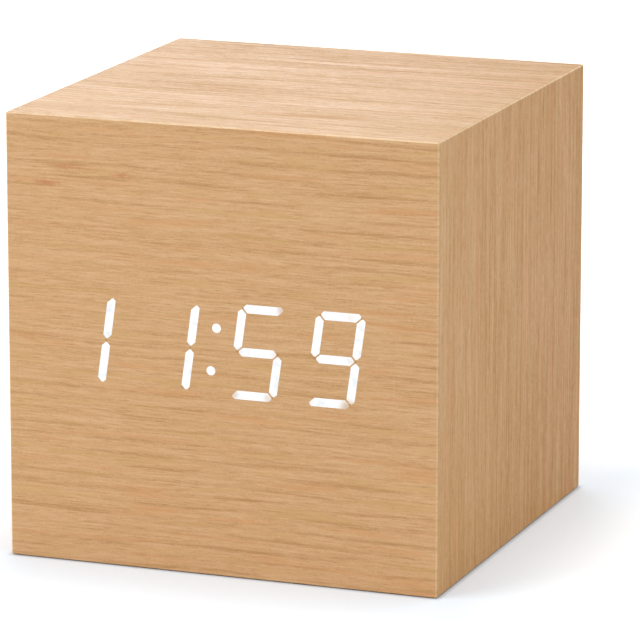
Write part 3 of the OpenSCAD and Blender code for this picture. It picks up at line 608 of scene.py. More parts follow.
@dataclass(frozen=True)
class Veneer(Finish):
    """Satin veneer with fine straight grain and a paler sanded arris, which carries a painted highlight where
    it faces upward.
    """

    run: GrainRun
    sheet: float
    base: Colour
    rings: float = 0.38
    bands: float = 0.08
    streaks: float = 0.27
    lines: float = 0.68
    # Tone change per metre across the sheet: a painted sheen; a negative value makes the sheet paler towards
    # the front
    painted_sheen_drift: float = 0.0
    case_top: float = 68 * MM
    darkest: Colour = (0.79, 0.72, 0.61)
    brightest: Colour = (1.15, 1.23, 1.40)
    flush: Colour = (0.66, 0.335, 0.150)
    flush_share: float = 0.5
    gold: Colour = (0.615, 0.375, 0.155)
    gold_share: float = 0.5
    red_flecks: tuple[Blot, ...] = ()
    red: Colour = (0.52, 0.225, 0.095)
    red_tone: Span = (0.75, 0.35)
    scorches: tuple[Blot, ...] = ()
    scorch: Colour = (0.34, 0.17, 0.06)
    pore: Colour = (0.42, 0.228, 0.084)
    pore_share: float = 0.45
    fleck: Colour = (0.76, 0.50, 0.27)
    fleck_share: float = 0.35
    arris_mask: Span = (0.95, 0.8)
    sanded: Colour = (0.83, 0.565, 0.315)
    sanded_tone: Span = (0.25, 0.6)
    sanded_weights: Weights = (0.6, 0.35)
    # Colour of upward-facing arrises and the mask of how far up they face: a painted highlight, paler than
    # the sanded wood
    top_painted_highlight: Colour = (0.93, 0.67, 0.42)
    painted_highlight_mask: Span = (0.3, 0.6)
    rough_weights: Weights = (0.655, -0.35, 0.2)
    specular: float = 0.12
    relief: float = 0.02 * MM

    def sheet_place(self, graph: Graph) -> tuple[Value, Value]:
        """Finds the place on the sheet.

        Args:
            graph: The material's nodes.

        Returns:
            The distances along the grain and across it, in metres.
        """
        x, y, z = graph.place()
        if self.run is GrainRun.OVER_TOP:
            return x - graph.math("SIGN", x) * (z - self.case_top), y
        if self.run is GrainRun.ACROSS_BACK:
            return x * -1.0, z
        return x, z

    def sanding(self, graph: Graph, tone: Value) -> tuple[Value, Value]:
        """Finds the bevelled edges, which lie along none of the three axes.

        Args:
            graph: The material's nodes.
            tone: How pale the grain is; pale grain is sanded more.

        Returns:
            Their mask and their colour: sanded wood, with a painted highlight where they face upward.
        """
        x, y, z = graph.facing()
        edge = abs(x).larger(abs(y)).larger(abs(z)).ease(self.arris_mask)
        share = graph.weigh(self.sanded_weights, tone.ease(self.sanded_tone))
        # The sanded colour becomes a painted highlight where the edge faces upward
        return edge * share, graph.blend(z.ease(self.painted_highlight_mask), self.sanded, self.top_painted_highlight)

    def paint(self, graph: Graph) -> Feeds:
        """Lays flushes, flecks, pores and the sanded arris over the grain.

        Args:
            graph: The material's nodes.

        Returns:
            The shader's inputs by name.
        """
        place = self.sheet_place(graph)
        weights = {"Rings": self.rings, "Bands": self.bands, "Streaks": self.streaks, "Lines": self.lines}
        grain = graph.effect(Grain(), Along=place[0], Across=place[1], Sheet=self.sheet, **weights)
        tone = grain["Tone"]
        low = tuple(part * share for part, share in zip(self.base, self.darkest))
        high = tuple(part * share for part, share in zip(self.base, self.brightest))
        stops = ((0.0, low), (0.5, self.base), (1.0, high))
        coats = [(grain["Flush"] * self.flush_share, self.flush)]
        coats.append((grain["Gold"] * self.gold_share, self.gold))
        for fleck in self.red_flecks:
            coats.append((fleck.mask(graph, *place) * tone.ease(self.red_tone), self.red))
        for scorch in self.scorches:
            coats.append((scorch.mask(graph, *place), self.scorch))
        coats.append((grain["Pore"] * self.pore_share, self.pore))
        coats.append((grain["Fleck"] * self.fleck_share, self.fleck))
        coats.append(self.sanding(graph, tone))
        return {
            # The tone drifts across the sheet: a painted sheen
            "Base Color": graph.coats(graph.ramp(place[1] * self.painted_sheen_drift + tone, stops), coats),
            "Roughness": graph.weigh(self.rough_weights, tone, grain["Pore"]),
            "Specular IOR Level": self.specular,
            "Normal": graph.bump(grain["Height"], self.relief),
        }


@dataclass(frozen=True)
class Fibreboard(Finish):
    """Raw pressed fibreboard, rubbed a little at its edges."""

    colour: Colour = (0.36, 0.215, 0.105)
    dark: float = 0.55
    pale: float = 1.5
    shades: tuple[float, float, float] = (0.55, 0.8, 1.0)
    rub: float = 0.5
    rub_width: float = 0.25 * MM
    rough: float = 0.92
    relief: float = 0.05 * MM

    def paint(self, graph: Graph) -> Feeds:
        """Lays rubbed edges over flecks.

        Args:
            graph: The material's nodes.

        Returns:
            The shader's inputs by name.
        """
        speckle = graph.effect(Speckle())
        wear = graph.effect(EdgeWear(), Width=self.rub_width)["Wear"]
        pale = shaded(self.colour, self.pale)
        colours = (shaded(self.colour, self.dark), self.colour, pale)
        flecked = graph.ramp(speckle["Shade"], tuple(zip(self.shades, colours)))
        return {
            "Base Color": graph.blend(wear * self.rub, flecked, pale),
            "Roughness": self.rough,
            "Normal": graph.bump(speckle["Height"], self.relief),
        }


@dataclass(frozen=True)
class Glow(Finish):
    """White light through the thinned veneer, faintly mottled and weaker at some stroke ends."""

    dim_spots: tuple[Blot, ...]
    cloudy: Colour = (0.80, 0.84, 0.86)
    veiled: Colour = (0.62, 0.44, 0.29)
    unlit: Colour = (0.02, 0.02, 0.02)
    cloud_scale: float = 700.0
    cloud_mask: Span = (0.45, 0.75)
    rough: float = 0.6

    def paint(self, graph: Graph) -> Feeds:
        """Lays clouds and dim spots over the light.

        Args:
            graph: The material's nodes.

        Returns:
            The shader's inputs by name.
        """
        x, _, z = graph.place()
        clouds = graph.noise(graph.point(), self.cloud_scale).ease(self.cloud_mask)
        dims = [(spot.mask(graph, x, z), self.veiled) for spot in self.dim_spots]
        return {
            "Base Color": self.unlit,
            "Roughness": self.rough,
            "Emission Color": graph.coats(PURE_WHITE, [(clouds, self.cloudy), *dims]),
            "Emission Strength": 1.0,
        }


@dataclass(frozen=True)
class Worn(Finish):
    """Plastic or metal of one colour, with the fine relief of its making and edges that are rubbed paler."""

    colour: Colour
    rough: float = 0.5
    gloss_weights: tuple[float, float] = (0.5, -0.12)
    rub: float = 0.35
    rub_width: float = 0.2 * MM
    rub_pale: float = 1.3
    rub_more: float = 0.05
    dark: float = 0.8
    pale: float = 1.2
    shade_mask: Span = (0.8, 1.2)
    metallic: float = 0.0
    relief: float = 0.012 * MM

    def texture(self, graph: Graph) -> dict[str, Value]:
        """Returns the shade, the gloss and the height that its making left."""
        raise NotImplementedError

    def paint(self, graph: Graph) -> Feeds:
        """Lays rubbed edges over the texture.

        Args:
            graph: The material's nodes.

        Returns:
            The shader's inputs by name.
        """
        texture = self.texture(graph)
        wear = graph.effect(EdgeWear(), Width=self.rub_width)["Wear"]
        coats = [(texture["Shade"].ease(self.shade_mask), shaded(self.colour, self.pale))]
        coats.append((wear * self.rub, shaded(self.colour, self.rub_pale, self.rub_more)))
        return {
            "Base Color": graph.coats(shaded(self.colour, self.dark), coats),
            "Metallic": self.metallic,
            "Roughness": graph.weigh((self.rough, *self.gloss_weights), texture["Gloss"], wear),
            "Normal": graph.bump(texture["Height"], self.relief),
        }


@dataclass(frozen=True)
class Plastic(Worn):
    """Moulded plastic with a spark-eroded skin."""

    pits: float = 5200.0

    def texture(self, graph: Graph) -> dict[str, Value]:
        """Returns the shade, the gloss and the height of the skin."""
        return graph.effect(MouldedSkin(), Pits=self.pits)


@dataclass(frozen=True)
class Metal(Worn):
    """Bare or plated metal with fine lines along one axis."""

    rough: float = 0.3
    gloss_weights: tuple[float, float] = (0.4, -0.08)
    rub: float = 0.6
    rub_width: float = 0.12 * MM
    rub_pale: float = 1.2
    rub_more: float = 0.0
    dark: float = 0.72
    pale: float = 1.0
    shade_mask: Span = (0.75, 1.2)
    metallic: float = 1.0
    relief: float = 0.002 * MM
    along: Axis = Axis.X

    def texture(self, graph: Graph) -> dict[str, Value]:
        """Draws the lines.

        Args:
            graph: The material's nodes.

        Returns:
            Their shade, gloss and height.
        """
        place = graph.place()
        along = place.pop(self.along.value)
        return graph.effect(RolledLines(), Along=along, Across=place[0] + place[1])


@dataclass(frozen=True)
class CircuitBoard(Finish):
    """Green lacquer over copper tracks, with bare glass fibre at the sawn edges."""

    lacquer: Colour = (0.012, 0.110, 0.040)
    over_track: Colour = (0.022, 0.190, 0.062)
    edge: Colour = (0.42, 0.40, 0.22)
    face_mask: Span = (0.4, 0.6)
    track_scale: float = 330.0
    track_width: float = 0.05
    track_offset: float = 0.5
    track_squash: float = 0.6
    weave_scale: float = 2400.0
    weave_share: float = 0.35
    rough_weights: Weights = (0.75, -0.5, 0.1)
    height_weights: Weights = (0.0, 0.7, 0.2)
    relief: float = 0.02 * MM

    def paint(self, graph: Graph) -> Feeds:
        """Lays tracks and weave on the faces, and bare fibre on the sawn edges.

        Args:
            graph: The material's nodes.

        Returns:
            The shader's inputs by name.
        """
        x, _, z = graph.place()
        flat = graph.vector(x, z, 0.0)
        bricks = {"Vector": flat, "Scale": self.track_scale, "Mortar Size": self.track_width}
        laid = {"offset": self.track_offset, "squash": self.track_squash}
        tracks = graph.read("Fac", "ShaderNodeTexBrick", bricks, **laid)
        weave = graph.noise(graph.point(), self.weave_scale)
        face = abs(graph.facing()[Axis.Y.value]).ease(self.face_mask)
        coats = [(tracks, self.over_track), (weave * self.weave_share, self.lacquer)]
        return {
            "Base Color": graph.blend(face, self.edge, graph.coats(self.lacquer, coats)),
            "Roughness": graph.weigh(self.rough_weights, face, weave),
            "Normal": graph.bump(graph.weigh(self.height_weights, tracks, weave), self.relief),
        }


@dataclass(frozen=True)
class Rubber(Finish):
    """Matt rubber with a dusty bloom."""

    colour: Colour = (0.022, 0.022, 0.023)
    dust: Colour = (0.10, 0.095, 0.09)
    dust_shade: Span = (0.95, 1.25)
    dust_share: float = 0.5
    pits: float = 3800.0
    rough_weights: Weights = (0.8, 0.3)
    relief: float = 0.02 * MM

    def paint(self, graph: Graph) -> Feeds:
        """Lays dust over the skin.

        Args:
            graph: The material's nodes.

        Returns:
            The shader's inputs by name.
        """
        skin = graph.effect(MouldedSkin(), Pits=self.pits)
        dusty = skin["Shade"].ease(self.dust_shade) * self.dust_share
        return {
            "Base Color": graph.blend(dusty, self.colour, self.dust),
            "Roughness": graph.weigh(self.rough_weights, skin["Gloss"]),
            "Normal": graph.bump(skin["Height"], self.relief),
        }


@dataclass(frozen=True)
class CellJacket(Finish):
    """Plain printed film round a cell: one colour, two thin rings and a band at the plus end."""

    plus_ends: tuple[tuple[float, int], ...]
    half_length: float
    pitch: float
    film: Colour = (0.47, 0.26, 0.055)
    band: Colour = (0.60, 0.59, 0.55)
    band_start: Span = (0.668, 0.672)
    ring: Colour = (0.055, 0.065, 0.075)
    ring_places: tuple[float, float] = (0.64, -0.74)
    ring_half: float = 0.012
    pits: float = 1900.0
    dirt_shade: Span = (1.2, 0.7)
    dirt_share: float = 0.3
    metallic: float = 0.35
    rough_weights: Weights = (0.32, 0.3)
    relief: float = 0.004 * MM

    def paint(self, graph: Graph) -> Feeds:
        """Lays the band, the rings and some dirt over the film.

        Args:
            graph: The material's nodes.

        Returns:
            The shader's inputs by name.
        """
        x, y, _ = graph.place()
        ways = [y.near(cell_y, self.pitch / 2) for cell_y, _ in self.plus_ends]
        toward_plus = graph.weigh((0.0, *(way for _, way in self.plus_ends)), *ways) * x / self.half_length
        first, second = (toward_plus.near(place, self.ring_half) for place in self.ring_places)
        skin = graph.effect(MouldedSkin(), Pits=self.pits)
        coats = [(toward_plus.ease(self.band_start), self.band), (first.larger(second), self.ring)]
        coats.append((skin["Shade"].ease(self.dirt_shade) * self.dirt_share, self.ring))
        return {
            "Base Color": graph.coats(self.film, coats),
            "Metallic": self.metallic,
            "Roughness": graph.weigh(self.rough_weights, skin["Gloss"]),
            "Normal": graph.bump(skin["Height"], self.relief),
        }


@dataclass(frozen=True)
class Lamp(Finish):
    """Clear resin over yellow phosphor in a white cup."""

    phosphor: Colour = (0.80, 0.68, 0.20)
    cup: Colour = (0.80, 0.80, 0.76)
    dark: float = 0.8
    grain_scale: float = 7000.0
    front_mask: Span = (-0.6, -0.8)
    rough_weights: Weights = (0.45, -0.3, 0.1)

    def paint(self, graph: Graph) -> Feeds:
        """Lays phosphor on the faces that light leaves by, and leaves the cup elsewhere.

        Args:
            graph: The material's nodes.

        Returns:
            The shader's inputs by name.
        """
        front = graph.facing()[Axis.Y.value].ease(self.front_mask)
        grains = graph.noise(graph.point(), self.grain_scale)
        phosphor = graph.blend(grains, shaded(self.phosphor, self.dark), self.phosphor)
        return {
            "Base Color": graph.blend(front, self.cup, phosphor),
            "Roughness": graph.weigh(self.rough_weights, front, grains),
        }


class Shaper:
    """Builds meshes in the shared frame, in metres."""

    FACETS: ClassVar[int] = 64

    @staticmethod
    def arc(centre: Spot, radius: float, start: float, end: float, steps: int = 6) -> list[Spot]:
        """Returns the points of an arc from one angle to another, in degrees, cut into steps."""
        angles = [math.radians(start + (end - start) * step / steps) for step in range(steps + 1)]
        return [(centre[0] + radius * math.cos(turn), centre[1] + radius * math.sin(turn)) for turn in angles]

    @staticmethod
    def circle(radius: float, sides: int) -> list[Spot]:
        """Returns the points of a circle round the origin."""
        return Shaper.arc((0.0, 0.0), radius, 0.0, 360.0, sides)[:-1]

    @staticmethod
    def join(made: bmesh.types.BMesh, rings: Sequence[Sequence[bmesh.types.BMVert]]) -> None:
        """Lays faces from each ring of points to the next.

        Args:
            made: The mesh.
            rings: The rings; one of a single point is a tip.
        """
        for lower, upper in zip(rings, rings[1:]):
            count = max(len(lower), len(upper))
            for step in range(count):
                ahead = (step + 1) % count
                corners = [lower[step % len(lower)], lower[ahead % len(lower)]]
                corners += [upper[ahead % len(upper)], upper[step % len(upper)]]
                made.faces.new(list(dict.fromkeys(corners)))

    @staticmethod
    def lathe(profile: Sequence[Spot], turn: Matrix, closed: bool = False) -> bmesh.types.BMesh:
        """Turns a profile round its axis.

        Args:
            profile: Pairs of radius and height.
            turn: Moves the axis from Z to its place.
            closed: Whether the profile's last point joins its first one.

        Returns:
            The new mesh.
        """
        made = bmesh.new()
        rings = []
        for radius, height in profile:
            spots = Shaper.circle(radius, Shaper.FACETS if radius > 0.0 else 1)
            rings.append([made.verts.new(turn @ Vector((*spot, height))) for spot in spots])
        Shaper.join(made, rings + rings[:1] if closed else rings)
        return made

    @staticmethod
    def sweep(line: list[Vector], outline: Sequence[Spot], upward: Vector = UPWARD) -> bmesh.types.BMesh:
        """Carries an outline along a line, square to it, with flat ends.

        Args:
            line: Points of the line.
            outline: Points of the outline, sideways and upwards.
            upward: A direction that the line never takes.

        Returns:
            The new mesh.
        """
        made = bmesh.new()
        rings = []
        for before, middle, after in zip(line[:1] + line, line, line[1:] + line[-1:]):
            ahead = (after - before).normalized()
            aside = upward.cross(ahead).normalized()
            above = ahead.cross(aside)
            rings.append([made.verts.new(middle + aside * u + above * v) for u, v in outline])
        Shaper.join(made, rings)
        made.faces.new(rings[0][::-1])
        made.faces.new(rings[-1])
        return made

    @staticmethod
    def piece(name: str, parts: Iterable[bmesh.types.BMesh], smooth_angle: float = 35.0) -> bpy.types.Object:
        """Joins meshes to one named object.

        Args:
            name: Name of the piece.
            parts: Its meshes, which are used up.
            smooth_angle: Edges flatter than this many degrees are shaded smooth.

        Returns:
            The new object.
        """
        whole = bmesh.new()
        for part in parts:
            bmesh.ops.recalc_face_normals(part, faces=part.faces)
            scratch = bpy.data.meshes.new("scratch")
            part.to_mesh(scratch)
            part.free()
            whole.from_mesh(scratch)
            bpy.data.meshes.remove(scratch)
        for face in whole.faces:
            face.smooth = True
        for edge in whole.edges:
            edge.smooth = len(edge.link_faces) == 2 and edge.calc_face_angle() < math.radians(smooth_angle)
        mesh = bpy.data.meshes.new(name)
        whole.to_mesh(mesh)
        whole.free()
        made = bpy.data.objects.new(name, mesh)
        bpy.context.scene.collection.objects.link(made)
        return made


class Assembly:
    """What every sub-assembly shares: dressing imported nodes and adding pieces."""

    SAME_POINT: ClassVar[float] = 1e-6
    SHARP_ANGLE: ClassVar[float] = math.radians(40.0)
    ROUND_STEPS: ClassVar[int] = 2

    def dress(self, finishes: Mapping[str, Finish], soften: float = 0.0) -> None:
        """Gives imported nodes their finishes.

        Args:
            finishes: Finishes by node.
            soften: Width of the rounding along sharp edges; 0 leaves them sharp.
        """
        for node, finish in finishes.items():
            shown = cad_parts[node]
            if not shown.material_slots:
                shown.data.materials.append(None)
            for slot in shown.material_slots:
                slot.material = finish.material()
            if soften > 0.0:
                weld = shown.modifiers.new("weld", "WELD")
                weld.merge_threshold = self.SAME_POINT
                bevel = shown.modifiers.new("soften", "BEVEL")
                bevel.width = soften
                bevel.segments = self.ROUND_STEPS
                bevel.limit_method = "ANGLE"
                bevel.angle_limit = self.SHARP_ANGLE
            LOG.info("dressed %s in %s", node, finish.name)

    def add(self, made: bpy.types.Object, body: Body, finish: Finish, slot: str, node: str = "") -> None:
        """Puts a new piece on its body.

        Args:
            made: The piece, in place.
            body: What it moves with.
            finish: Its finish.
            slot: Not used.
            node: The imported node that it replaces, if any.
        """
        made.data.materials.append(finish.material())
        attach(made, body.value)
        if node:
            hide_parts(node)
        LOG.info("added %s on %s in %s", made.name, body.value, finish.name)


BLACK = Plastic("black_moulded_plastic", (0.018, 0.018, 0.020), rough=0.52)
WHITE = Plastic("white_moulded_plastic", (0.78, 0.78, 0.76), rough=0.55, rub=0.1)
CREAM = Plastic("cream_moulded_plastic", (0.74, 0.69, 0.56), rough=0.45, rub=0.15)
STEEL = Metal("zinc_plated_steel", (0.62, 0.63, 0.66), rough=0.32, along=Axis.Y)
NICKEL = Metal("nickel_plated_metal", (0.74, 0.74, 0.75), rough=0.22, along=Axis.Z)
LACQUER = CircuitBoard("green_circuit_board")
BOARD = Fibreboard("raw_fibreboard")


@dataclass
class Case(Assembly):
    """Veneer over fibreboard."""

    front_colour: Colour = (0.648, 0.395, 0.199)
    # The wrapped sheet's wood is a darker, deeper copy of the front's colour: painted shade on the top and
    # sides, against the sheen and fill light that the lamps lay there
    wrap_painted_shade_colour: Colour = (0.600, 0.3375, 0.1365)
    # Painted highlight on the upward arrises of the wrapped sheet
    wrap_painted_highlight: Colour = (1.0, 0.735, 0.45)
    red_flecks: tuple[Blot, ...] = (
        Blot(-23.6 * MM, 60.4 * MM, 9.0 * MM, 1.2 * MM, 0.75),
        Blot(-15.3 * MM, 59.7 * MM, 5.5 * MM, 1.3 * MM, 0.75),
        Blot(-27.4 * MM, 57.8 * MM, 7.0 * MM, 1.6 * MM, 0.75),
    )
    board_places: tuple[str, ...] = ("front", "top", "left", "right", "back")

    def build(self) -> None:
        """Dresses the veneer and the boards."""
        front = Veneer(
            "front_sheet",
            GrainRun.ACROSS_FRONT,
            sheet=1.7,
            base=self.front_colour,
            red_flecks=self.red_flecks,
            scorches=Display().scorches(),
        )
        wrap = Veneer(
            "wrapped_sheet",
            GrainRun.OVER_TOP,
            sheet=5.2,
            base=self.wrap_painted_shade_colour,
            rings=0.2,
            bands=0.55,
            streaks=0.55,
            lines=0.8,
            # Painted sheen: the wrap is paler towards the front and darker towards the back
            painted_sheen_drift=-3.4,
            flush_share=0.6,
            gold_share=0.3,
            top_painted_highlight=self.wrap_painted_highlight,
        )
        back = Veneer("back_sheet", GrainRun.ACROSS_BACK, sheet=9.4, base=self.front_colour)
        self.dress({"front_veneer": front, "wrap_veneer": wrap, "back_veneer": back})
        self.dress({f"{place}_board": BOARD for place in self.board_places})
        self.dress({"corner_blocks": BOARD})


@dataclass
class Display(Assembly):
    """Lit strokes, light box, lamps and the display board with what it carries."""

    middle_z: float = 34.6 * MM
    half_z: float = 6.55 * MM
    half_x: float = 3.2 * MM
    lean: float = math.tan(math.radians(8.0))
    hours_x: tuple[float, float] = (-21.275 * MM, -7.875 * MM)
    tens_x: float = 5.975 * MM
    units_x: float = 18.125 * MM
    scorch_reach: float = 0.55 * MM
    scorch_share: float = 0.55
    dim_edge: Span = (0.5, 0.05)

    def on_digit(self, digit_x: float, across: float, up: float) -> Spot:
        """Returns a place on the front, from its place on a digit in half widths and half heights."""
        rise = up * self.half_z
        return digit_x + across * self.half_x + rise * self.lean, self.middle_z + rise

    def scorches(self) -> tuple[Blot, ...]:
        """Finds the corners where two lit strokes meet.

        Returns:
            The dark spots in those corners.
        """
        corners = [(digit_x, 1, 0) for digit_x in self.hours_x]
        corners += [(self.tens_x, across, up) for across, up in ((-1, 1), (-1, 0), (1, 0), (1, -1))]
        corners += [(self.units_x, across, up) for across, up in ((-1, 1), (1, 1), (-1, 0), (1, 0), (1, -1))]
        size = (self.scorch_reach, self.scorch_reach)
        return tuple(Blot(*self.on_digit(*corner), *size, self.scorch_share) for corner in corners)

    def dim_spots(self) -> tuple[Blot, ...]:
        """Finds the stroke ends that show less light, by place on a digit, size and loss.

        Returns:
            The spots that dim them.
        """
        ends = (
            (self.tens_x, 1.05, 1.0, 3.8 * MM, 0.75),
            (self.tens_x, -1.05, -1.0, 3.4 * MM, 0.75),
            (self.tens_x, 0.90, -1.05, 3.2 * MM, 0.50),
            (self.tens_x, 0.95, 0.0, 2.2 * MM, 0.35),
            (self.units_x, 0.45, 0.99, 2.0 * MM, 0.25),
            (self.units_x, 0.95, -1.08, 4.2 * MM, 0.90),
            (self.units_x, -1.05, -1.0, 2.4 * MM, 0.40),
            (self.units_x, 0.85, 0.02, 2.2 * MM, 0.30),
        )
        return tuple(Blot(*self.on_digit(*end), size, size, loss, self.dim_edge) for *end, size, loss in ends)

    def build(self) -> None:
        """Dresses the display from the light inwards."""
        self.dress(
            {
                "lit_segments": Glow("light_through_veneer", self.dim_spots()),
                "diffuser_sheet": Plastic("diffuser_film", (0.82, 0.82, 0.80), rough=0.6, rub=0.0),
                "light_box": WHITE,
                "segment_lamps": Lamp("lamp_resin_over_phosphor"),
                "display_board": LACQUER,
                "display_spacers": CREAM,
                "display_screws": STEEL,
                "controller_chip": Plastic("chip_resin", (0.02, 0.02, 0.021), 0.62, rub=0.15, pits=7000.0),
                "clock_crystal": NICKEL,
                "coin_cell_holder": Plastic("holder_plastic", (0.03, 0.03, 0.032)),
                "coin_cell": NICKEL,
                "coin_cell_clip": Metal("clip_brass", (0.74, 0.55, 0.24), rough=0.28),
                "buzzer": Plastic("buzzer_shell", (0.015, 0.015, 0.016), rough=0.4),
                "microphone": NICKEL,
                "thermistor": Plastic("bead_resin", (0.03, 0.055, 0.12), rough=0.25, relief=0.004 * MM),
            }
        )


@dataclass(frozen=True)
class Key:
    """A button: its name, its place, its body and its mark."""

    name: str
    x: float
    body: Body
    mark: KeyMark


@dataclass
class BackControls(Assembly):
    """The recessed plate, its three buttons, the key board and the power inlet."""

    height: float = 27 * MM
    keys: tuple[Key, ...] = (
        Key("set", -15 * MM, Body.SET_KEY, KeyMark.RING),
        Key("up", -6 * MM, Body.UP_KEY, KeyMark.UP),
        Key("down", 3 * MM, Body.DOWN_KEY, KeyMark.DOWN),
    )
    cap_radius: float = 3 * MM
    cap_end: float = 33.7 * MM
    cap_round: float = 0.35 * MM
    dish_depth: float = 0.25 * MM
    dish_radius: float = 12 * MM
    dish_steps: int = 8
    lip_radius: float = 3.8 * MM
    lip_face: float = 31.32 * MM
    lip_thickness: float = 0.8 * MM
    stem_radius: float = 2.1 * MM
    stem_end: float = 29.52 * MM
    mark_rise: float = 0.07 * MM
    mark_drop: float = 0.105 * MM
    ring_outer: float = 0.966 * MM
    ring_inner: float = 0.651 * MM
    corner_reach: float = 0.84 * MM
    corner_round: float = 0.231 * MM
    corner_steps: int = 5
    plate_soften: float = 0.15 * MM

    @property
    def dish_floor(self) -> float:
        """Returns where the middle of a button's dish lies along Y."""
        return self.cap_end - self.dish_depth

    def key_turn(self, key: Key) -> Matrix:
        """Returns the move that stands a lathe's axis along +Y at a button's place."""
        return Matrix.Translation((key.x, 0.0, self.height)) @ Matrix.Rotation(-math.pi / 2, 4, "X")

    def cap_profile(self) -> list[Spot]:
        """Lays out a button: stem, lip, rounded rim and dished face.

        Returns:
            Pairs of radius and height.
        """
        lip_back = self.lip_face - self.lip_thickness
        rim = (self.cap_radius - self.cap_round, self.cap_end - self.cap_round)
        profile = [(0.0, self.stem_end), (self.stem_radius, self.stem_end), (self.stem_radius, lip_back)]
        profile += [(self.lip_radius, lip_back), (self.lip_radius, self.lip_face)]
        profile += [(self.cap_radius, self.lip_face), *Shaper.arc(rim, self.cap_round, 0.0, 90.0)]
        dish = math.sqrt(self.dish_radius**2 - (self.dish_radius - self.dish_depth) ** 2)
        for step in range(self.dish_steps + 1):
            radius = dish * (1 - step / self.dish_steps)
            rise = self.dish_radius - math.sqrt(self.dish_radius**2 - radius**2)
            profile.append((radius, self.dish_floor + rise))
        return profile

    def triangle(self, tip: float) -> list[Spot]:
        """Lays out a triangle with rounded corners.

        Args:
            tip: 1 where it points up, -1 where it points down.

        Returns:
            Its points, sideways and up.
        """
        found: list[Spot] = []
        for turn in (90.0, 210.0, 330.0):
            angle = math.radians(turn)
            middle = (self.corner_reach * math.cos(angle), self.corner_reach * math.sin(angle))
            found += Shaper.arc(middle, self.corner_round, turn - 60.0, turn + 60.0, self.corner_steps)
        return [(x, tip * (z - self.mark_drop)) for x, z in found]

    def key_mark(self, key: Key) -> bmesh.types.BMesh:
        """Makes the printed mark in a button's dish.

        Args:
            key: The button.

        Returns:
            The new mesh.
        """
        low, high = self.dish_floor, self.dish_floor + self.mark_rise
        if key.mark is KeyMark.RING:
            inner, outer = self.ring_inner, self.ring_outer
            loop = [(inner, low), (outer, low), (outer, high), (inner, high)]
            return Shaper.lathe(loop, self.key_turn(key), closed=True)
        line = [Vector((key.x, y, self.height)) for y in (low, high)]
        return Shaper.sweep(line, self.triangle(1.0 if key.mark is KeyMark.UP else -1.0))

    def build(self) -> None:
        """Dresses the plate and what is behind it, and makes the buttons."""
        self.dress({"control_plate": BLACK}, self.plate_soften)
        self.dress(
            {
                "control_plate_screws": STEEL,
                "key_board": LACQUER,
                "key_board_screws": STEEL,
                "key_switches": Plastic("switch_body", (0.028, 0.028, 0.03), rough=0.45),
                "power_inlet": Plastic("inlet_plastic", (0.02, 0.02, 0.022), rough=0.36, pits=3000.0),
                "power_inlet_pin": NICKEL,
            }
        )
        cap = Plastic("button_plastic", (0.030, 0.030, 0.033), rough=0.4, relief=0.006 * MM, pits=6500.0)
        paint = Plastic("mark_paint", (0.72, 0.72, 0.70), rough=0.6, rub=0.0)
        plunger = Plastic("plunger_plastic", (0.74, 0.74, 0.69), rough=0.42, rub=0.1)
        for key in self.keys:
            turned = Shaper.lathe(self.cap_profile(), self.key_turn(key))
            made = Shaper.piece(f"{key.name}_cap", [turned])
            self.add(made, key.body, cap, "button_plastic", f"{key.name}_button")
            mark = Shaper.piece(f"{key.name}_mark", [self.key_mark(key)])
            self.add(mark, key.body, paint, "plunger_plastic")
            self.dress({f"{key.name}_plunger": plunger})


@dataclass
class Base(Assembly):
    """Base tray, its screws, the rubber feet and the battery door."""

    foot_x: float = 22 * MM
    foot_y: float = 24.3 * MM
    foot_radius: float = 3 * MM
    foot_top: float = 1.4 * MM
    foot_round: float = 0.3 * MM
    dimple_radius: float = 1.1 * MM
    dimple_floor: float = 0.88 * MM
    dimple_depth: float = 0.12 * MM
    tray_soften: float = 0.15 * MM
    door_soften: float = 0.12 * MM

    def foot_profile(self) -> list[Spot]:
        """Lays out a foot: dimpled underside, rounded rim and flat top.

        Returns:
            Pairs of radius and height.
        """
        rim = (self.foot_radius - self.foot_round, self.foot_round)
        profile = [(0.0, self.dimple_depth), (self.dimple_floor, self.dimple_depth)]
        profile += [(self.dimple_radius, 0.0), *Shaper.arc(rim, self.foot_round, -90.0, 0.0)]
        return profile + [(self.foot_radius, self.foot_top), (0.0, self.foot_top)]

    def build(self) -> None:
        """Dresses the tray and the door, and makes the feet."""
        door = Plastic("door_plastic", (0.020, 0.020, 0.022), pits=4600.0)
        self.dress({"base_tray": BLACK}, self.tray_soften)
        self.dress({"base_screws": Metal("base_screw_steel", STEEL.colour, STEEL.rough, along=Axis.Z)})
        self.dress({"battery_door": door}, self.door_soften)
        places = [(side * self.foot_x, end * self.foot_y, 0.0) for side in (-1, 1) for end in (-1, 1)]
        feet = [Shaper.lathe(self.foot_profile(), Matrix.Translation(place)) for place in places]
        made = Shaper.piece("round_feet", feet)
        self.add(made, Body.CASE, Rubber("foot_rubber"), "foot_rubber", "rubber_feet")


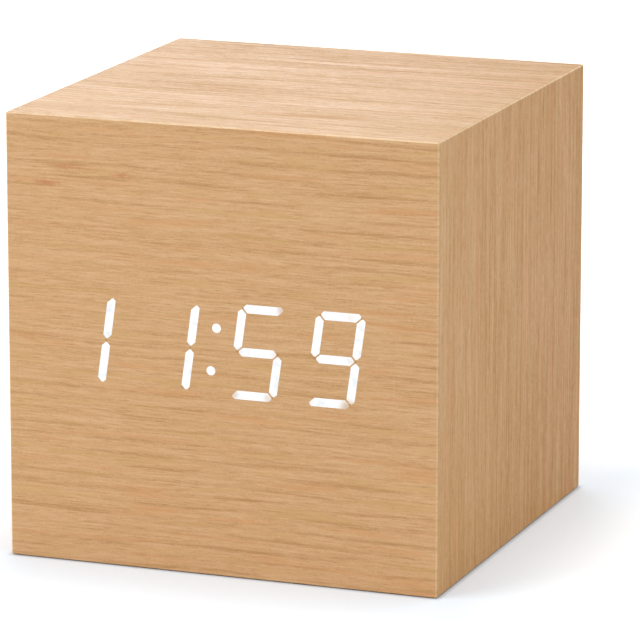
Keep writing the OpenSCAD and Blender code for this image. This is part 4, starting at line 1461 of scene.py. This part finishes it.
@dataclass
class BatteryBay(Assembly):
    """Three cells, their contact plates and their coil springs."""

    cell_z: float = 7.65 * MM
    cell_radius: float = 5.25 * MM
    cell_length: float = 44.5 * MM
    shoulder: float = 0.4 * MM
    shoulder_steps: int = 5
    film: float = 0.15 * MM
    minus_mouth: float = 3.885 * MM
    minus_cap: float = 3.78 * MM
    minus_cap_depth: float = 0.6 * MM
    minus_boss: float = 2.625 * MM
    boss_foot: float = 2.8875 * MM
    boss_rise: float = 0.15 * MM
    plus_mouth: float = 3.465 * MM
    plus_cap: float = 3.36 * MM
    plus_cap_depth: float = 0.5 * MM
    plus_cap_rim: float = 0.15 * MM
    nub_radius: float = 1.9 * MM
    nub_height: float = 1 * MM
    nub_round: float = 0.3 * MM
    nub_steps: int = 4
    nub_foot: float = 0.1 * MM
    bay_length: float = 49.5 * MM
    plate_thickness: float = 0.4 * MM
    pitch: float = 11.3 * MM
    wire: float = 0.5 * MM
    wire_sides: int = 12
    wire_smooth: float = 60.0
    wide_radius: float = 3.7 * MM
    narrow_radius: float = 1.9 * MM
    spring_turns: int = 4
    spring_rise: float = 0.875 * MM
    spring_seat: float = 0.05 * MM
    steps_per_turn: int = 40

    def cells(self) -> tuple[tuple[float, int], ...]:
        """Returns each cell's place across the bay, and which way along X its plus end points."""
        return ((-self.pitch, 1), (0.0, -1), (self.pitch, 1))

    @property
    def minus(self) -> float:
        """Returns where a cell's minus end lies on its axis."""
        return self.bay_length / 2 - self.plate_thickness - self.cell_length

    def cell_turn(self, y: float, way: int) -> Matrix:
        """Returns the move from a cell's own axis to its place in the bay."""
        return Matrix.Translation((0.0, y, self.cell_z)) @ Matrix.Rotation(way * math.pi / 2, 4, "Y")

    def jacket_profile(self) -> list[Spot]:
        """Lays out the film round a cell, which grips both shoulders.

        Returns:
            Pairs of radius and height, as a closed loop.
        """
        low = self.minus
        high = low + self.cell_length - self.nub_height
        inner = self.cell_radius - self.film
        bend = self.cell_radius - self.shoulder
        profile = [(self.minus_mouth, low)]
        profile += Shaper.arc((bend, low + self.shoulder), self.shoulder, -90.0, 0.0, self.shoulder_steps)
        profile += Shaper.arc((bend, high - self.shoulder), self.shoulder, 0.0, 90.0, self.shoulder_steps)
        profile += [(self.plus_mouth, high), (self.plus_mouth, high - self.film)]
        profile += [(inner, high - self.shoulder), (inner, low + self.shoulder)]
        return profile + [(self.minus_mouth, low + self.film)]

    def minus_profile(self) -> list[Spot]:
        """Lays out the steel cap at the minus end: a flat boss in a shallow ring.

        Returns:
            Pairs of radius and height.
        """
        low = self.minus
        ring = low + self.boss_rise
        inside = low + self.minus_cap_depth
        profile = [(0.0, low), (self.minus_boss, low), (self.boss_foot, ring)]
        return profile + [(self.minus_cap, ring), (self.minus_cap, inside), (0.0, inside)]

    def plus_profile(self) -> list[Spot]:
        """Lays out the steel cap at the plus end, with its nub.

        Returns:
            Pairs of radius and height.
        """
        high = self.minus + self.cell_length
        seat = high - self.nub_height
        inside = seat - self.plus_cap_depth
        rim = (self.nub_radius - self.nub_round, high - self.nub_round)
        profile = [(0.0, high), *Shaper.arc(rim, self.nub_round, 90.0, 0.0, self.nub_steps)]
        profile += [(self.nub_radius, seat - self.nub_foot), (self.plus_cap, seat - self.plus_cap_rim)]
        return profile + [(self.plus_cap, inside), (0.0, inside)]

    def spring_line(self, turn: Matrix) -> list[Vector]:
        """Winds the centre line of a spring that narrows towards its cell.

        Args:
            turn: The move from the cell's own axis to its place.

        Returns:
            Points of the line.
        """
        start = self.plate_thickness + self.spring_seat + self.wire / 2 - self.bay_length / 2
        last = self.spring_turns * self.steps_per_turn
        found = []
        for step in range(last + 1):
            turns = step / self.steps_per_turn
            radius = self.wide_radius + (self.narrow_radius - self.wide_radius) * step / last
            angle = 2 * math.pi * turns
            spot = (radius * math.cos(angle), radius * math.sin(angle), start + self.spring_rise * turns)
            found.append(turn @ Vector(spot))
        return found

    def build(self) -> None:
        """Makes the cells and the springs, and dresses the contact plates."""
        turns = [self.cell_turn(y, way) for y, way in self.cells()]
        jackets = [Shaper.lathe(self.jacket_profile(), turn, closed=True) for turn in turns]
        film = CellJacket("cell_film", self.cells(), self.cell_length / 2, self.pitch)
        self.add(Shaper.piece("cell_jackets", jackets), Body.CASE, film, "cell_jacket", "battery_cells")
        ends = (self.minus_profile(), self.plus_profile())
        caps = [Shaper.lathe(end, turn) for turn in turns for end in ends]
        self.add(Shaper.piece("cell_caps", caps), Body.CASE, NICKEL, "bright_metal", "battery_cells")
        outline = Shaper.circle(self.wire / 2, self.wire_sides)
        along = Vector((1.0, 0.0, 0.0))
        coils = [Shaper.sweep(self.spring_line(turn), outline, along) for turn in turns]
        springs = Shaper.piece("coil_springs", coils, self.wire_smooth)
        wire = Metal("spring_wire", NICKEL.colour, rough=0.2)
        self.add(springs, Body.CASE, wire, "bright_metal", "contact_springs")
        self.dress({"contact_plates": NICKEL})


@dataclass
class Wiring(Assembly):
    """Ribbon between the two boards, its plugs and sockets, and the battery leads."""

    ribbon_x: float = 5 * MM
    ribbon_front: Spot = (-16 * MM, 22.3 * MM)
    ribbon_back: Spot = (14.82 * MM, 23.2 * MM)
    ribbon_bow: float = 5 * MM
    ribbon_width: float = 6 * MM
    ribbon_wires: int = 6
    ribbon_steps: int = 48
    ribbon_smooth: float = 50.0
    web_angle: float = 20.0
    lead_radius: float = 0.65 * MM
    lead_sides: int = 16
    lead_steps: int = 12
    lead_x: float = 18 * MM
    tab_x: float = 24.35 * MM
    tab_y: float = 11.3 * MM
    lay_z: float = 15.6 * MM
    board_y: float = 23.42 * MM
    turn_y: float = 18.42 * MM
    solder_z: float = 23.5 * MM
    straight: float = 1 * MM
    handle_share: float = 1 / 6

    def ribbon_outline(self) -> list[Spot]:
        """Lays out the ribbon's cross-section: round wires side by side, joined by thin webs.

        Returns:
            Its points, sideways and up.
        """
        radius = self.ribbon_width / self.ribbon_wires / 2
        middles = [(2 * wire + 1 - self.ribbon_wires) * radius for wire in range(self.ribbon_wires)]
        found: list[Spot] = []
        for side, places in ((180.0, middles), (0.0, middles[::-1])):
            start, end = side + self.web_angle, side + 180.0 - self.web_angle
            for middle in places:
                found += Shaper.arc((middle, 0.0), radius, start, end)
        return found

    def ribbon_line(self) -> list[Vector]:
        """Lays out the ribbon's middle line, bowed up between its plugs.

        Returns:
            Points of the line.
        """
        front_y, front_z = self.ribbon_front
        back_y, back_z = self.ribbon_back
        found = []
        for step in range(self.ribbon_steps + 1):
            share = step / self.ribbon_steps
            rise = (back_z - front_z) * (1 - math.cos(math.pi * share)) / 2
            bow = self.ribbon_bow * (1 - math.cos(2 * math.pi * share)) / 2
            found.append(Vector((self.ribbon_x, front_y + (back_y - front_y) * share, front_z + rise + bow)))
        return found

    def lead_line(self, end: int) -> list[Vector]:
        """Lays out the centre line of a battery lead.

        Args:
            end: 1 for the plus lead on the right, -1 for the minus lead on the left.

        Returns:
            Points of a smooth line through the lead's stops.
        """
        tab_y = -end * self.tab_y
        stops = [(self.tab_x - step * self.straight, tab_y, self.lay_z) for step in range(3)]
        bend_y = (2 * tab_y + self.turn_y) / 3
        stops.append((self.lead_x + self.straight, bend_y, self.lay_z + self.lead_radius))
        stops.append((self.lead_x, self.turn_y, (2 * self.solder_z + self.lay_z) / 3))
        stops += [(self.lead_x, self.board_y - step * self.straight, self.solder_z) for step in (2, 1, 0)]
        return self.smooth_line([Vector((end * x, y, z)) for x, y, z in stops])

    def smooth_line(self, stops: list[Vector]) -> list[Vector]:
        """Draws a smooth line that passes through every stop.

        Args:
            stops: Points to pass through.

        Returns:
            Points of the line.
        """
        found: list[Vector] = []
        for before, start, end, after in zip(stops[:1] + stops, stops, stops[1:], stops[2:] + stops[-1:]):
            leave = start + (end - before) * self.handle_share
            arrive = end - (after - start) * self.handle_share
            found += interpolate_bezier(start, leave, arrive, end, self.lead_steps + 1)[:-1]
        return found + stops[-1:]

    def build(self) -> None:
        """Makes the ribbon and the leads, and dresses plugs and sockets."""
        self.dress({"link_headers": CREAM, "link_plugs": WHITE})
        grey = Plastic("ribbon_skin", (0.30, 0.32, 0.35), rough=0.45, rub=0.0, pits=3000.0)
        swept = Shaper.sweep(self.ribbon_line(), self.ribbon_outline())
        ribbon = Shaper.piece("ribbon_link", [swept], self.ribbon_smooth)
        self.add(ribbon, Body.CASE, grey, "grey_cable", "ribbon_cable")
        leads = ((1, "plus", "red", (0.36, 0.018, 0.016)), (-1, "minus", "black", (0.018, 0.018, 0.019)))
        for end, name, colour_name, colour in leads:
            skin = Plastic(f"{colour_name}_lead_skin", colour, rough=0.4, rub=0.0)
            tube = Shaper.sweep(self.lead_line(end), Shaper.circle(self.lead_radius, self.lead_sides))
            lead = Shaper.piece(f"{name}_wire", [tube])
            self.add(lead, Body.CASE, skin, f"{colour_name}_cable", f"{name}_lead")


@dataclass(frozen=True)
class FloorPaint(Finish):
    """White studio floor that stays white to the eye and keeps a pale shadow; a painted shadow darkens and
    cools it near the object, and a painted shade leaves it dark under the object.
    """

    covered: float
    colour: Colour = (0.92, 0.92, 0.92)
    # Painted shadow: tint and lift of the floor at the object's edge, easing to the far ones over the reaches
    painted_shadow_tint: Colour = (0.768, 0.848, 0.935)
    far_colour: Colour = (0.82, 0.85, 0.875)
    painted_shadow_lift: float = 0.22
    far_lift: float = 0.52
    side_reach: float = 26 * MM
    front_reach: float = 40 * MM
    rough: float = 0.9

    def paint(self, graph: Graph) -> Feeds:
        """Throws back white light, and lifts the shadows for the eye, less near the object and not at all
        under it, which paints shadow there.

        Args:
            graph: The material's nodes.

        Returns:
            The shader's inputs by name.
        """
        x, y, _ = graph.place()
        aside = abs(x)
        ahead = abs(y)
        # Painted shade: no lift under the object, so the floor stays dark there
        open_floor = aside.larger(ahead).ease((self.covered, self.covered + MM))
        far = aside.ease((self.covered, self.covered + self.side_reach))
        far = far.larger(ahead.ease((self.covered, self.covered + self.front_reach)))
        seen = graph.seen()
        # Painted shadow: near the object the floor shows a cooler tint and gets less lift, so it is darker
        # there
        shown = graph.blend(far, self.painted_shadow_tint, self.far_colour)
        lift = far * (self.far_lift - self.painted_shadow_lift) + self.painted_shadow_lift
        return {
            "Base Color": graph.blend(seen, self.colour, shown),
            "Roughness": self.rough,
            "Specular IOR Level": 0.0,
            "Emission Color": PURE_WHITE,
            "Emission Strength": lift * seen * open_floor,
        }


@dataclass(frozen=True)
class SoftBox:
    """A square lamp that faces the object: its place, its size, and its level on a white sheet there."""

    name: str
    azimuth: float
    elevation: float
    distance: float
    size: float
    level: float


@dataclass
class Studio:
    """Floor, soft light and camera."""

    floor_half: float = 3.0
    dome: float = 0.73
    soft_boxes: tuple[SoftBox, ...] = (
        SoftBox("key_lamp", -46.0, 32.0, 0.8, 0.48, 0.335),
        SoftBox("sheen_lamp", 208.5, 12.0, 0.5, 0.25, 0.265),
        SoftBox("fill_lamp", 120.0, 74.0, 0.8, 0.4, 0.10),
    )
    middle_z: float = 34 * MM
    eye_azimuth: float = 20.905
    eye_elevation: float = 12.961
    eye_distance: float = 0.7661
    aim_azimuth: float = 20.695
    aim_elevation: float = 13.127
    sensor: float = 36.0
    lens: float = 281.1
    nearest: float = 0.05
    farthest: float = 20.0

    @staticmethod
    def toward(azimuth: float, elevation: float) -> Vector:
        """Returns the direction from the object to an eye, by degrees round from the front and up."""
        turn, rise = math.radians(azimuth), math.radians(elevation)
        return Vector((math.sin(turn) * math.cos(rise), -math.cos(turn) * math.cos(rise), math.sin(rise)))

    def hang(self, held: bpy.types.ID, out: Vector, aim: Vector) -> bpy.types.Object:
        """Hangs a lamp or a camera in the studio.

        Args:
            held: The lamp or the camera.
            out: Where it hangs, from the object's middle.
            aim: Which way it looks.

        Returns:
            The new object.
        """
        made = bpy.data.objects.new(held.name, held)
        made.location = UPWARD * self.middle_z + out
        made.rotation_mode = "QUATERNION"
        made.rotation_quaternion = aim.to_track_quat("-Z", "Y")
        bpy.context.scene.collection.objects.link(made)
        return made

    def build(self) -> None:
        """Makes the floor, the world, the lamps and the camera."""
        self.build_floor()
        self.build_world()
        for box in self.soft_boxes:
            self.build_lamp(box)
        self.build_camera()

    def build_floor(self) -> None:
        """Lays the floor under the feet."""
        half = self.floor_half
        corners = [(-half, -half, 0.0), (half, -half, 0.0), (half, half, 0.0), (-half, half, 0.0)]
        mesh = bpy.data.meshes.new("studio_floor")
        mesh.from_pydata(corners, [], [(0, 1, 2, 3)])
        mesh.materials.append(FloorPaint("studio_floor_white", max(CAD_BOX[1][:2])).material())
        floor = bpy.data.objects.new("studio_floor", mesh)
        bpy.context.scene.collection.objects.link(floor)

    def build_world(self) -> None:
        """Makes a white world that lights the object at a lower level than it shows."""
        world = bpy.data.worlds.new("studio_world")
        world.use_nodes = True
        world.node_tree.nodes.clear()
        graph = Graph(world.node_tree)
        sky = {"Color": PURE_WHITE, "Strength": graph.seen() * (1.0 - self.dome) + self.dome}
        surface = graph.read("Background", "ShaderNodeBackground", sky)
        graph.node("ShaderNodeOutputWorld", {"Surface": surface})
        bpy.context.scene.world = world

    def build_lamp(self, box: SoftBox) -> None:
        """Hangs a soft lamp that faces the object.

        Args:
            box: Its place, size and level.
        """
        out = self.toward(box.azimuth, box.elevation) * box.distance
        lamp = bpy.data.lights.new(box.name, "AREA")
        lamp.shape = "SQUARE"
        lamp.size = box.size
        # The power at which a small lamp lights a white sheet at this distance to its level
        lamp.energy = box.level * math.pi**2 * box.distance**2
        self.hang(lamp, out, -out)

    def build_camera(self) -> None:
        """Sets up the camera at the photograph's angle."""
        camera = bpy.data.cameras.new("camera")
        camera.sensor_width = self.sensor
        camera.lens = self.lens
        camera.clip_start = self.nearest
        camera.clip_end = self.farthest
        out = self.toward(self.eye_azimuth, self.eye_elevation) * self.eye_distance
        aim = -self.toward(self.aim_azimuth, self.aim_elevation)
        bpy.context.scene.camera = self.hang(camera, out, aim)


def main() -> None:
    """Builds the studio, then the clock in the order in which it is put together."""
    logging.basicConfig(level=logging.INFO, format="%(name)s: %(message)s")
    bpy.context.scene.view_settings.view_transform = "Standard"
    for part in (Studio(), Case(), Display(), BackControls(), Base(), BatteryBay(), Wiring()):
        part.build()


if __name__ == "__main__":
    main()
